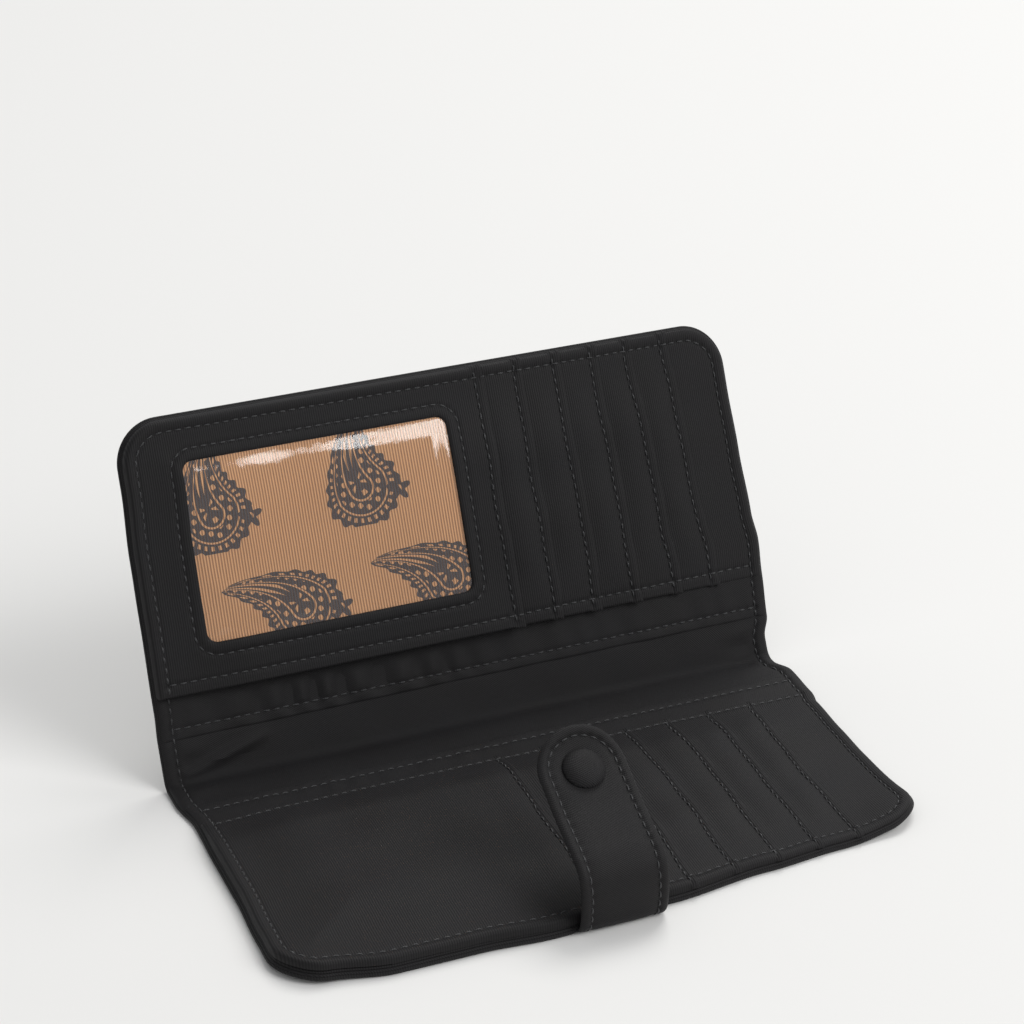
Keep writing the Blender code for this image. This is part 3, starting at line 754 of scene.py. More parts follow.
class Sheet:
    """One sewn layer of a half, in the place of a plate of the frame."""

    ring = False

    def __init__(self, node, hem, mouth=False, lean=0.0, puff=PUFF, wave=0.0):
        low, high = unrolled(node)
        self.node = node
        self.body = frame["nodes"][node]["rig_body"]
        self.left, self.near = low[:2]
        self.right, self.far = high[:2]
        self.low = low[2]
        self.upper = self.body == "upper_panel"
        self.mouthed = mouth
        self.lean = lean
        self.puff = puff
        self.wave = wave
        self.hem = hem
        self.turned = TURNED_BACK[self.body]
        self.seed = len(sheets[self.body]) + 11
        self.free = self.near if self.upper else self.far
        self.seams = [edge_seam, hem]
        if mouth:
            rows = np.linspace(self.near + self.turned / 2, self.far - self.turned / 2, 24)
            self.mouth_seam = Seam(list(zip(self.mouth(rows) - self.turned, rows)))
            self.seams.append(self.mouth_seam)
        sheets[self.body].append(self)

    def mouth(self, along):
        """Place across of the mouth, which leans and wavers a little."""
        share = (along - self.near) / (self.far - self.near) - 0.5
        waver = 0.28 * MM * np.sin(along / (9 * MM) + self.seed)
        waver = waver + 0.16 * MM * np.sin(along / (3.7 * MM) + self.seed * 2)
        return self.right + (self.lean * share + waver) * self.mouthed

    def covers(self, across, along):
        beside = (across >= self.left) & (across <= self.mouth(along))
        return beside & (along >= self.near) & (along <= self.far)

    def loose(self, across, along):
        """Extra height of this sheet's own puff, puckers and hem, before the seams press it."""
        extra = ripple(across, along, self.seed, 0.12 * MM, 17 * MM)
        if self.mouthed:
            behind = self.mouth(along) - across
            hem = smooth((self.turned + 0.5 * MM - behind) / (0.9 * MM))
            extra = extra + HEM_RISE * hem
            strip = np.clip((behind - self.turned) / PUFF_WIDTH, 0, 1)
            ends = np.minimum(along - self.near, self.far - along)
            swell = np.sin(math.pi * strip) * smooth(ends / PUFF_ENDS)
            extra = extra + self.puff * swell
        if self.wave:
            pucker = np.sin(across / PUCKER_PITCH + 1.4 * np.sin(across / (7 * MM)))
            where = np.exp(-((across - PUCKER_MIDDLE) / PUCKER_SPREAD) ** 2) + 0.25
            middle = np.sin(math.pi * np.clip(np.abs(along - self.free) / PUCKER_DEPTH, 0, 1))
            extra = extra + self.wave * pucker * where * middle
        return extra

    def edge_fall(self, across, along):
        """1 on the sheet, falling in a quarter round at its mouth and at its free edge."""
        fall = rounded(np.abs(along - self.free), FREE_ROUND)
        if self.mouthed:
            fall = fall * rounded(self.mouth(along) - across, MOUTH_ROUND)
        return fall

    def face(self, across, along):
        height = stacked(self.low + SHEET + self.loose(across, along), across, along)
        for seam in self.seams:
            height = height - seam.groove(across, along)
        return height - (1 - self.edge_fall(across, along)) * 0.9 * SHEET

    def under(self, across, along):
        return np.minimum(stacked(self.low, across, along), self.face(across, along) - 0.02 * MM)

    def grid(self):
        close_rows = [self.near, self.far, self.hem.points[0][1]]
        close_rows += [TOP_END - SEAM_INSET if self.upper else SEAM_INSET]
        close_columns = [self.right]
        if self.mouthed:
            close_columns += [self.right - self.turned]
        if self.left < SEAM_INSET:
            close_columns += [self.left, SEAM_INSET]
        if self.right > WIDTH - SEAM_INSET:
            close_columns += [WIDTH - SEAM_INSET]
        columns = ticks(self.left, self.right, close_columns)
        rows = ticks(self.near, self.far, close_rows)
        across, along = np.meshgrid(columns, rows)
        if self.mouthed:
            pull = np.clip((across - self.left) / (self.right - self.left), 0, 1)
            across = across + (self.mouth(along) - self.right) * pull
        radii = [0, 0, 0, 0]
        if self.left < SEAM_INSET:
            radii[3 if self.upper else 0] = CORNER
        if self.right > WIDTH - SEAM_INSET:
            radii[2 if self.upper else 1] = CORNER
        return round_off(across, along, self.left, self.right, self.near, self.far, radii)

    def nubs(self, across, along):
        """The doubled hem stands out at the ends of a mouth."""
        if not self.mouthed:
            return np.zeros_like(along)
        behind = self.mouth(along) - across
        bumps = np.exp(-((behind - 0.6 * MM) / (0.75 * MM)) ** 2)
        bumps = bumps + 0.8 * np.exp(-((behind - self.turned) / (0.7 * MM)) ** 2)
        at_near = np.exp(-((along - self.near) / (1.2 * MM)) ** 2)
        at_far = np.exp(-((along - self.far) / (1.2 * MM)) ** 2)
        return NUB * bumps * (at_far - at_near)

    def build(self, material):
        across, along = self.grid()
        piece = shell(self.node + "_cloth", across, along + self.nubs(across, along),
                      self.face(across, along), self.under(across, along), ring=self.ring)
        return dress(piece, material, "pocket_cloth", self.body, [self.node])


def top_face(body):
    """Height of the uppermost cloth of a half at any place."""
    def height(across, along):
        best = lining_face(across, along)
        for sheet in sheets[body]:
            best = np.where(sheet.covers(across, along), np.maximum(best, sheet.face(across, along)), best)
        return best
    return height


LOWER_LEAN = 2.6 * MM
UPPER_LEANS = (-3.0 * MM, -3.2 * MM, -1.6 * MM, -1.0 * MM, -0.6 * MM)
Sheet("lower_banknote_pocket", hems["lower_strip"], wave=0.25 * MM)
Sheet("lower_card_base", hems["lower_cards"])
for number in range(1, 7):
    Sheet(f"lower_card_pocket_{number}", hems["lower_cards"], mouth=True, lean=LOWER_LEAN)
Sheet("lower_wide_pocket", hems["lower_cards"], mouth=True, lean=LOWER_LEAN, puff=0.25 * MM)
Sheet("upper_banknote_pocket", hems["upper_strip"], wave=0.62 * MM)
Sheet("upper_card_base", hems["upper_cards"])
for number, lean in enumerate(UPPER_LEANS, 1):
    Sheet(f"upper_card_pocket_{number}", hems["upper_cards"], mouth=True, lean=lean)
for half in sheets.values():
    for sheet in half:
        sheet.build(twill if "banknote" in sheet.node else ribbed)
print("pocket sheets", sum(len(half) for half in sheets.values()), "made")

# %% [markdown]
# The identity pocket: a printed back, a clear film and a cloth frame with a rounded window.
# A plate with a hole can't be one plain grid, so the frame's grid runs round the hole like the
# rings of a target, from the window's folded rim to the outline.

# %% Window measures
film_low, film_high = unrolled("id_window")
back_low, back_high = unrolled("id_backing")
FILM_LAP = 4 * MM
WINDOW = (film_low[0] + FILM_LAP, film_high[0] - FILM_LAP, film_low[1] + FILM_LAP, film_high[1] - FILM_LAP)
WINDOW_CORNER = 3.0 * MM
WINDOW_SEAM = 3.6 * MM
WINDOW_ROUND = 0.9 * MM
WINDOW_BAND = 1.7 * MM
WINDOW_SWELL = 0.22 * MM
FREE_CORNER = 0.8 * MM
window_seam = Seam(rounded_path(WINDOW[0] - WINDOW_SEAM, WINDOW[1] + WINDOW_SEAM,
                                WINDOW[2] - WINDOW_SEAM, WINDOW[3] + WINDOW_SEAM,
                                [WINDOW_CORNER + WINDOW_SEAM] * 4), closed=True)
print("window", [round(value * 1000, 1) for value in WINDOW])


def in_window(across, along):
    """Distance outwards from the window's rounded edge; negative inside the window."""
    left, right, near, far = WINDOW
    side = np.abs(across - (left + right) / 2) - (right - left) / 2 + WINDOW_CORNER
    end = np.abs(along - (near + far) / 2) - (far - near) / 2 + WINDOW_CORNER
    past_corner = np.hypot(np.maximum(side, 0), np.maximum(end, 0))
    return past_corner + np.minimum(np.maximum(side, end), 0) - WINDOW_CORNER


# %% Cloth frame round the window
class WindowFrame(Sheet):
    """The frame: a mouthed sheet with a hole whose rim is folded under."""

    ring = True

    def face(self, across, along):
        height = super().face(across, along) - window_seam.groove(across, along)
        outward = in_window(across, along)
        rim = rounded(outward, WINDOW_ROUND)
        swell = WINDOW_SWELL * np.maximum(1 - ((outward - WINDOW_BAND) / WINDOW_BAND) ** 2, 0)
        return height + swell - (1 - rim) * 0.5 * MM

    def under(self, across, along):
        rim = rounded(in_window(across, along), WINDOW_ROUND)
        low = stacked(self.low, across, along) - (1 - rim) * 0.1 * MM
        return np.minimum(low, self.face(across, along) - 0.02 * MM)

    def grid(self):
        outer_radii = (FREE_CORNER, FREE_CORNER, FREE_CORNER, CORNER)
        inner = self.loop(*WINDOW, [WINDOW_CORNER] * 4)
        outer = self.loop(self.left, self.right, self.near, self.far, outer_radii)
        share = ticks(0, 1, (0, 1, 0.28, 0.7), coarse=0.05, fine=0.018, reach=0.09)
        across = inner[:, :1] + (outer[:, :1] - inner[:, :1]) * share
        along = inner[:, 1:] + (outer[:, 1:] - inner[:, 1:]) * share
        pull = np.clip((across - WINDOW[1]) / (self.right - WINDOW[1]), 0, 1)
        across = across + (self.mouth(along) - self.right) * pull
        return across, along

    @staticmethod
    def loop(left, right, near, far, radii, steps=8, sides=(80, 56, 80, 56)):
        """Points of a rounded rectangle, always as many on the same side and at the same corner."""
        path = np.array(rounded_path(left, right, near, far, radii, steps))
        points = []
        for corner in range(4):
            points.extend(path[corner * (steps + 1):(corner + 1) * (steps + 1)])
            start, end = points[-1], path[(corner + 1) * (steps + 1) % len(path)]
            shares = np.linspace(0, 1, sides[corner] + 2)[1:-1, None]
            points.extend(start + (end - start) * shares)
        return np.array(points)


window_frame = WindowFrame("id_frame", hems["upper_cards"], mouth=True, lean=-0.3 * MM, puff=0.0)
frame_piece = window_frame.build(ribbed)
print("window frame", len(frame_piece.data.polygons), "faces")

# %% [markdown]
# The printed back is a corded cloth: ribs about a millimetre apart that run up the wallet.
# Its print is a traditional one, rows of leaf-shaped botehs with a small flower between them, in
# dark ink. One motif is written as formulas and repeated over the cloth, each row shifted by half
# a step and every other leaf turned over, as a block printer would set it out.

# %% Printed cloth
CORD_PITCH = 0.84 * MM
MOTIF_STEP = 45 * MM
MOTIF_ROW = 30 * MM
MOTIF_SIZE = 16.5 * MM
PRINT_SHIFT = (2 * MM, 15 * MM)
MOTIF_LEAN = 0.55


def boteh(finish, x, y):
    """Ink of one leaf, 0 or 1; x and y are in leaf sizes from the middle of its round end."""
    upper = y.most(0.0)
    bent = x - 0.62 * upper ** 2.1
    taper = (1.0 - upper / 1.2).most(0.002) ** 0.6
    round_end = (bent * bent + y.least(0.0) * y.least(0.0)) ** 0.5
    level_line = round_end / (0.7 * taper)
    angle = finish.add("ShaderNodeMath", {"operation": "ARCTAN2"}, [bent, y - 0.12])
    scallops = (angle * 19.0).cosine() * 0.055
    body = (level_line + scallops).below(1.0) * y.below(1.17)
    ticks_in_border = (angle * 34.0).cosine().above(0.15) * level_line.above(0.76) * level_line.below(0.87)
    ring = level_line.above(0.66) * level_line.below(0.705)
    field = ((x * 30.0).cosine() * (y * 27.0).cosine()).above(0.3)
    field = field * level_line.below(0.6) * level_line.above(0.36)
    core_ring = level_line.above(0.29) * level_line.below(0.34)
    seeds = (angle * 6.0).cosine().above(0.35) * level_line.below(0.21) * level_line.above(0.08)
    bare = ticks_in_border.most(ring).most(field).most(core_ring).most(seeds)
    return body * (1.0 - bare)


def flower(finish, x, y):
    """Ink of a small five-petalled flower with a bare eye."""
    reach = (x * x + y * y) ** 0.5
    angle = finish.add("ShaderNodeMath", {"operation": "ARCTAN2"}, [x, y])
    petals = reach.below(0.17 + 0.06 * (angle * 5.0).cosine())
    return petals * reach.above(0.06)


def printed_cloth():
    finish = Finish("printed_cord_cloth", Specular_IOR_Level=0.35, Sheen_Weight=0.12)
    place, across, along = finish.cloth_place()
    waver = finish.noise(place, 60.0, 1.0) * 2.2
    cords = (across * (TURN / CORD_PITCH) + waver).cosine() * 0.5 + 0.5
    weft = (along * (TURN / (0.42 * MM))).cosine() * 0.12
    u = (across + PRINT_SHIFT[0]) / MOTIF_STEP
    v = (along + PRINT_SHIFT[1]) / MOTIF_ROW
    row = finish.add("ShaderNodeMath", {"operation": "FLOOR"}, [v])
    odd = row.repeated(2.0)
    turned = 1.0 - 2.0 * odd
    x = ((u + odd * 0.5).repeated(1.0) - 0.5) * (MOTIF_STEP / MOTIF_SIZE)
    y = (v.repeated(1.0) - 0.5) * (MOTIF_ROW / MOTIF_SIZE)
    tilted_x = (x * math.cos(MOTIF_LEAN) + y * math.sin(MOTIF_LEAN)) * turned
    tilted_y = y * math.cos(MOTIF_LEAN) - x * math.sin(MOTIF_LEAN)
    leaf = boteh(finish, tilted_x, tilted_y + 0.3)
    bud = flower(finish, x - 0.83, y + 0.38)
    ink = leaf.most(bud)
    worn = 0.82 + 0.16 * cords
    tan = finish.mix(cords, (0.35, 0.150, 0.056, 1), (0.80, 0.41, 0.19, 1))
    shade = finish.noise(place, 28.0, 2.0)
    cloth = finish.mix(shade, tan, finish.mix(cords, (0.40, 0.178, 0.069, 1), (0.88, 0.48, 0.23, 1)))
    inked = finish.mix(cords, (0.012, 0.012, 0.016, 1), (0.04, 0.042, 0.055, 1))
    colour = finish.mix(ink * worn, cloth, inked)
    normal = finish.bump(cords + weft, 0.16 * MM)
    return finish.wear(Base_Color=colour, Roughness=0.62 + ink * 0.06, Normal=normal)


# %% Printed back
BACK_INSET = 4.6 * MM
BACK_FOLD = 0.5 * MM


def cloth_of_back(across, along):
    """Height of the printed back: it lies against the film, with two soft folds at the left."""
    height = stacked(back_high[2], across, along)
    left, right, near, far = WINDOW
    u, v = (across - left) / (right - left), (along - near) / (far - near)
    upright = BACK_FOLD * np.exp(-((u - 0.17 - 0.05 * np.sin(4 * v)) / 0.06) ** 2) * smooth((v - 0.1) / 0.5)
    slanted = BACK_FOLD * np.exp(-((v - 0.05 - (0.26 - u) * 1.2) / 0.08) ** 2) * smooth((0.34 - u) / 0.12)
    inner = smooth(-in_window(across, along) / (6 * MM))
    dips = 0.12 * MM * (1 + np.sin(u * 7 + 1) * np.sin(v * 5))
    return height + (np.maximum(upright, slanted) + dips) * inner


back_left, back_top = back_low[0] + BACK_INSET, back_high[1] - BACK_INSET
across, along = np.meshgrid(ticks(back_left, back_high[0]), ticks(back_low[1], back_top))
across, along = round_off(across, along, back_left, WIDTH, back_low[1], back_top, (0, 0, 0, CORNER))
back_height = cloth_of_back(across, along)
printed_back = shell("id_printed_back", across, along, back_height, back_height - SHEET)
dress(printed_back, printed_cloth(), "printed_cloth", "upper_panel", ["id_backing"])
print("printed back", len(printed_back.data.polygons), "faces")

# %% [markdown]
# The film is soft clear vinyl. It is sewn behind the frame, swells a little over the cloth and
# turns down along the window's rim, where it catches the light in a bright line. Plain glass would
# bend the print behind it, and the film is far too thin for that, so it is a clear shader that
# only reflects, mixed with nothing at all. It reflects a twenty-fifth of the light from straight on
# and more at a slant. That rule is the same on both faces of the film, so light passes in and out.

# %% Film
STRAIGHT_GLOSS = 0.04
FILM_THICK = 0.12 * MM
FILM_SWELL = 0.6 * MM


def film_finish():
    finish = Finish("clear_vinyl", Base_Color=(1, 1, 1, 1), Metallic=1.0, Roughness=0.07)
    place, across, along = finish.cloth_place()
    waves = finish.noise(place, 70.0, 2.0)
    normal = finish.bump(waves, 0.35 * MM)
    clear = finish.add("ShaderNodeBsdfTransparent", values={"Color": (0.97, 0.975, 0.98, 1)})
    slant = finish.add("ShaderNodeLayerWeight", values={"Blend": 0.5, "Normal": normal}, output=1)
    gloss = Amount(finish, finish.shader.outputs["BSDF"])
    finish.wear(Normal=normal)
    mirrored = STRAIGHT_GLOSS + (1 - STRAIGHT_GLOSS) * slant ** 5
    mixed = finish.add("ShaderNodeMixShader", values=[mirrored, clear, gloss])
    finish.tree.links.new(mixed.socket, finish.tree.nodes["Material Output"].inputs["Surface"])
    return finish.material


def film_height(across, along):
    outward = in_window(across, along)
    base = stacked(film_low[2], across, along)
    swell = FILM_SWELL * smooth(-outward / (5.5 * MM))
    waves = ripple(across, along, 21, 0.2 * MM, 30 * MM) * smooth(-outward / (9 * MM))
    return base + swell + waves


columns = ticks(film_low[0], film_high[0], WINDOW[:2], coarse=0.8 * MM, reach=4 * MM)
rows = ticks(film_low[1], film_high[1], WINDOW[2:], coarse=0.8 * MM, reach=4 * MM)
across, along = np.meshgrid(columns, rows)
height = film_height(across, along)
film = shell("id_clear_film", across, along, height + FILM_THICK, height)
dress(film, film_finish(), "window_film", "upper_panel", ["id_window"])
print("film", len(film.data.polygons), "faces")

# %% [markdown]
# The closing tab is a springy padded strap. It starts under the cover, stands up before the front
# edge and bends over the pockets without touching them. It is drawn as a path seen from the side,
# and a half width that closes in a round tip.

# %% Path of the tab
TAB_MIDDLE = (root_low[0] + root_high[0]) / 2
TAB_HALF_WIDTH = (root_high[0] - root_low[0]) / 2
ROOT_BACK = root_high[1]
TAB_BOTTOM = 0.27 * MM
TAB_SIDE_VIEW = ((-3.2, 0.27), (-5.4, 0.9), (-6.7, 2.9), (-7.3, 6.0), (-7.5, 9.3), (-7.25, 13.2),
                 (-5.7, 17.3), (-2.6, 20.2), (2.0, 22.5), (6.5, 24.6), (11.0, 26.8), (15.0, 29.2),
                 (20.0, 32.2), (22.4, 33.9), (25.6, 37.0), (28.3, 41.4))
TAB_FOOT = (-6.7 * MM, 2.9 * MM)
DROOP_FROM = 7 * MM
DROOP = 0.012 / MM


def through(points, per_step=24):
    """A smooth curve through points, as a Catmull-Rom spline gives it."""
    padded = np.vstack([2 * points[0] - points[1], points, 2 * points[-1] - points[-2]])
    share = (np.arange(per_step) / per_step)[:, None]
    curve = []
    for one, two, three, four in zip(padded, padded[1:], padded[2:], padded[3:]):
        square = (2 * one - 5 * two + 4 * three - four) * share ** 2
        cube = (3 * two - one - 3 * three + four) * share ** 3
        curve.append(two + ((three - one) * share + (square + cube)) / 2)
    return np.concatenate([*curve, points[-1:]])


tab_side = through(np.array([(ROOT_BACK, TAB_BOTTOM), (ROOT_BACK / 2, TAB_BOTTOM)]
                            + [(y * MM, z * MM) for y, z in TAB_SIDE_VIEW]))
tab_reach = np.concatenate([[0], np.cumsum(np.hypot(*np.diff(tab_side, axis=0).T))])
TAB_LENGTH = tab_reach[-1]
tab_forward = np.gradient(tab_side, tab_reach, axis=0)
tab_forward /= np.linalg.norm(tab_forward, axis=1, keepdims=True)


def reach_of(y, z):
    """Length along the tab's path of its point nearest to a place in the side view."""
    return tab_reach[np.argmin(np.hypot(tab_side[:, 0] - y, tab_side[:, 1] - z))]


def tab_half_width(reach):
    share = np.clip((TAB_LENGTH - reach) / TAB_HALF_WIDTH, 0, 1)
    return TAB_HALF_WIDTH * np.sqrt(1 - (1 - share) ** 2)


def tab_place(across, along, height):
    """Place in the room of a point of the tab: across its middle line, along its path, above its core."""
    across, along, height = np.broadcast_arrays(across, along, height)
    y, z = (np.interp(along, tab_reach, tab_side[:, axis]) for axis in (0, 1))
    forward_y, forward_z = (np.interp(along, tab_reach, tab_forward[:, axis]) for axis in (0, 1))
    droop = DROOP * np.maximum(np.abs(across) - DROOP_FROM, 0) ** 2
    y = y - forward_z * (height - droop)
    z = z + forward_y * (height - droop * smooth(forward_z * 4))
    return np.stack([TAB_MIDDLE + across - HALF_WIDTH, y + FRONT, z], axis=-1)


def tab_rim_points(inset):
    """The tab's outline, moved inwards, as a path in (across, along)."""
    reach = ticks(0, TAB_LENGTH, (TAB_LENGTH,), coarse=1.5 * MM, fine=0.25 * MM, reach=6 * MM)
    half = tab_half_width(reach)
    rim = np.concatenate([np.stack([half, reach], -1), np.stack([-half, reach], -1)[::-1][1:]])
    if inset == 0:
        return rim
    heading = np.gradient(rim, axis=0)
    heading /= np.linalg.norm(heading, axis=1, keepdims=True)
    moved = rim + inset * np.stack([-heading[:, 1], heading[:, 0]], -1)
    distance, _ = tab_outline.near(*moved.T)
    return moved[distance > inset * 0.985]


TAB_SEAM_INSET = 2.9 * MM
tab_outline = Seam(tab_rim_points(0))
tab_seam = Seam(tab_rim_points(TAB_SEAM_INSET))
print("tab runs", round(TAB_LENGTH, 4), "m, seam", round(tab_seam.length, 4), "m")

# %% [markdown]
# Across, the tab is flat below. Above, it has a rolled rim outside its seam and a soft pad inside.
# The pad is pressed down round the button, which gives the button its dark ring of shadow.

# %% Tab cloth
TAB_SHEET_HALF = ((0, 0.24 * MM), (16 * MM, 0.26 * MM), (26 * MM, 0.42 * MM), (110 * MM, 0.42 * MM))
RIM_RISE = 0.42 * MM
PAD_RISE = 0.3 * MM
button_low, button_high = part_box("button_cap")
BUTTON_MIDDLE = (button_low + button_high) / 2
BUTTON_REACH = reach_of(BUTTON_MIDDLE.y - FRONT, BUTTON_MIDDLE.z)


def tab_thickness(along):
    return np.interp(along, *np.array(TAB_SHEET_HALF).T)


def tab_face(across, along):
    inside, _ = tab_outline.near(across, along)
    lively = smooth((along - 18 * MM) / (8 * MM))
    rim = RIM_RISE * np.maximum(1 - ((inside - 1.5 * MM) / (1.7 * MM)) ** 2, 0)
    pad = PAD_RISE * smooth((inside - TAB_SEAM_INSET + 0.3 * MM) / (4.5 * MM))
    pressed = smooth((np.hypot(across, along - BUTTON_REACH) - 5.4 * MM) / (3.5 * MM))
    soft = ripple(across, along, 31, 0.2 * MM, 19 * MM)
    near_seam = np.exp(-((inside - TAB_SEAM_INSET) / (1.6 * MM)) ** 2)
    puckers = 0.05 * MM * np.sin(along / (0.62 * MM)) * near_seam
    height = tab_thickness(along) + (rim + pad * pressed + soft * pressed + puckers) * lively
    height = height - tab_seam.groove(across, along) * (0.35 + 0.65 * lively)
    return height * rounded(inside, 1.0 * MM)


def tab_under(across, along):
    inside, _ = tab_outline.near(across, along)
    height = tab_thickness(along) - tab_seam.groove(across, along) * 0.4
    return -height * rounded(inside, 0.9 * MM) - 0.01 * MM


# %% [markdown]
# The frame bends the tab at five axes: one at its foot, and two close together at each bend above.
# So the strap is made in five lengths, each holding one axis, which meet halfway between two axes.

# %% Lengths of the tab
def side_place(joint):
    """A joint's axis in the tab's side view."""
    return np.array([pivots[joint].y - FRONT, pivots[joint].z])


TAB_JOINTS = ("tab_swing", "tab_shoulder_press", "tab_lift", "tab_knee_press", "tab_wrap")
TAB_BODIES = ("lower_panel", "tab_edge", "tab_shoulder", "tab_riser", "tab_knee", "tab_flap")
TAB_NODES = ("tab_root", "tab_band", "tab_shoulder", "tab_riser", "tab_knee", "tab_flap")
axis_reach = [reach_of(*TAB_FOOT), *(reach_of(*side_place(joint)) for joint in TAB_JOINTS[1:])]
tab_cuts = [0, *((one + two) / 2 for one, two in zip(axis_reach, axis_reach[1:])), TAB_LENGTH]
columns = ticks(-1, 1, (-1, -0.88, -0.77, 0.77, 0.88, 1), coarse=0.07, fine=0.022, reach=0.05)
for number, joint in enumerate(TAB_JOINTS):
    near, far = tab_cuts[number:number + 2]
    body, next_body = TAB_BODIES[number:number + 2]
    middle = axis_reach[number]
    half_bend = min(middle - near, far - middle, 3 * MM) * 0.98
    start, end = (Vector(tab_place(0.0, middle + shift, 0.0)) for shift in (-half_bend, half_bend))
    rows = ticks(near, far, (TAB_LENGTH, TAB_LENGTH - TAB_SEAM_INSET), coarse=0.5 * MM, fine=0.16 * MM,
                 reach=1.6 * MM)
    share, along = np.meshgrid(columns, rows)
    across = share * np.maximum(tab_half_width(along), 0.02 * MM)
    piece = shell(f"tab_cloth_{number + 1}", across, along, tab_face(across, along),
                  tab_under(across, along), place=tab_place)
    dress(piece, twill, "tab_cloth", nodes=TAB_NODES[number:number + 2])
    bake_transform(piece)
    sewn = stitches(f"tab_stitches_{number + 1}", tab_seam, tab_face, place=tab_place, span=(near, far))
    if sewn:
        dress(sewn, thread, "tab_cloth")
        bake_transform(sewn)
    print(body, "to", next_body, "from", round(near * 1000, 1), "to", round(far * 1000, 1), "mm")

# %% [markdown]
# The snap fastener. The button is a domed shell covered in the tab's cloth, which is gathered at
# its rim. Below it, under the tab, sits the socket: a rolled ring with a two-wire spring. The stud
# is on the back of the other half. All three are turned from a half section, as on a lathe.

# %% Turned pieces
def turned(name, section, centre, place, sides=72, gathers=0.0, closed=False):
    """Revolves a half section of (radius, height); gathers ripples the cloth near the rim."""
    section = np.array(section, float)
    if closed:
        section = np.vstack([section, section[:1]])
    angle = np.linspace(0, TURN, sides + 1)[:, None]
    radius = np.maximum(section[:, 0], 0.003 * MM)
    height = np.broadcast_to(section[:, 1], (sides + 1, len(section)))
    outer = (radius / radius.max()) ** 8
    folds = gathers * np.sin(angle * 23 + 2 * np.sin(angle * 3)) * outer
    across = centre[0] + (radius + folds) * np.cos(angle)
    along = centre[1] + (radius + folds) * np.sin(angle)
    points = place(across[:-1], along[:-1], height[:-1])
    rows, columns = points.shape[:2]
    index = np.arange(rows * columns).reshape(rows, columns)
    index = np.vstack([index, index[:1]])
    faces = np.stack([index[:-1, :-1], index[1:, :-1], index[1:, 1:], index[:-1, 1:]], -1).reshape(-1, 4)
    flat = np.stack([across[:-1].ravel(), along[:-1].ravel()], -1)
    return piece_of(name, points.reshape(-1, 3), faces.tolist(), flat, sharp=40)


def on_strap(across, along, height):
    """Place in the room of a point beside the button's axis, which stands straight on the strap."""
    middle = tab_place(0.0, BUTTON_REACH, 0.0)
    forward_y, forward_z = (np.interp(BUTTON_REACH, tab_reach, tab_forward[:, axis]) for axis in (0, 1))
    across, along, height = np.broadcast_arrays(across, along, height)
    return np.stack([middle[0] + across, middle[1] + along * forward_y - height * forward_z,
                     middle[2] + along * forward_z + height * forward_y], axis=-1)


def rounded_section(points, steps=6):
    """A half section with its corners softened, as a smooth curve cut short at the ends."""
    points = np.array(points, float)
    corners = [points[0]]
    for before, corner, after in zip(points, points[1:], points[2:]):
        near = min(np.linalg.norm(before - corner), np.linalg.norm(after - corner)) * 0.35
        start = corner + (before - corner) / np.linalg.norm(before - corner) * near
        end = corner + (after - corner) / np.linalg.norm(after - corner) * near
        for step in range(steps + 1):
            share = step / steps
            corners.append(start * (1 - share) ** 2 + 2 * corner * share * (1 - share) + end * share ** 2)
    return np.array([*corners, points[-1]])


# %% [markdown]
# The button's cloth is the tab's own twill. The snap is dark nickel with fine scuffs, which make
# some spots duller than others. The half sections are pairs of radius and height in millimetres.

# %% Button
BUTTON_SECTION = ((0, 2.4), (2.0, 2.33), (3.5, 2.05), (4.75, 1.5), (5.55, 0.8), (5.8, 0.25), (5.5, -0.1),
                  (4.7, -0.2))
SHANK_SECTION = ((1.4, -0.3), (1.4, -0.8), (0, -0.8))
BUTTON_STAND = 0.15 * MM
dome = through(np.array(BUTTON_SECTION) * MM, per_step=5)
above_core = float(tab_face(0.0, BUTTON_REACH))
section = np.vstack([dome, np.array(SHANK_SECTION) * MM]) + (0, above_core + BUTTON_STAND)
button = turned("button_cloth_dome", section, (0, 0), on_strap, sides=96, gathers=0.05 * MM)
dress(button, twill, "button_cloth", "tab_flap", ["button_cap"])
print("button stands", round(above_core * 1000, 2), "mm above the strap's core")


# %% Snap
def nickel_finish():
    finish = Finish("dark_nickel", Metallic=1.0)
    place, across, along = finish.cloth_place()
    scuffs = finish.noise(place, 900.0)
    colour = finish.mix(scuffs, (0.07, 0.068, 0.066, 1), (0.17, 0.165, 0.16, 1))
    normal = finish.bump(scuffs, 0.02 * MM)
    return finish.wear(Base_Color=colour, Roughness=0.24 + scuffs * 0.16, Normal=normal)


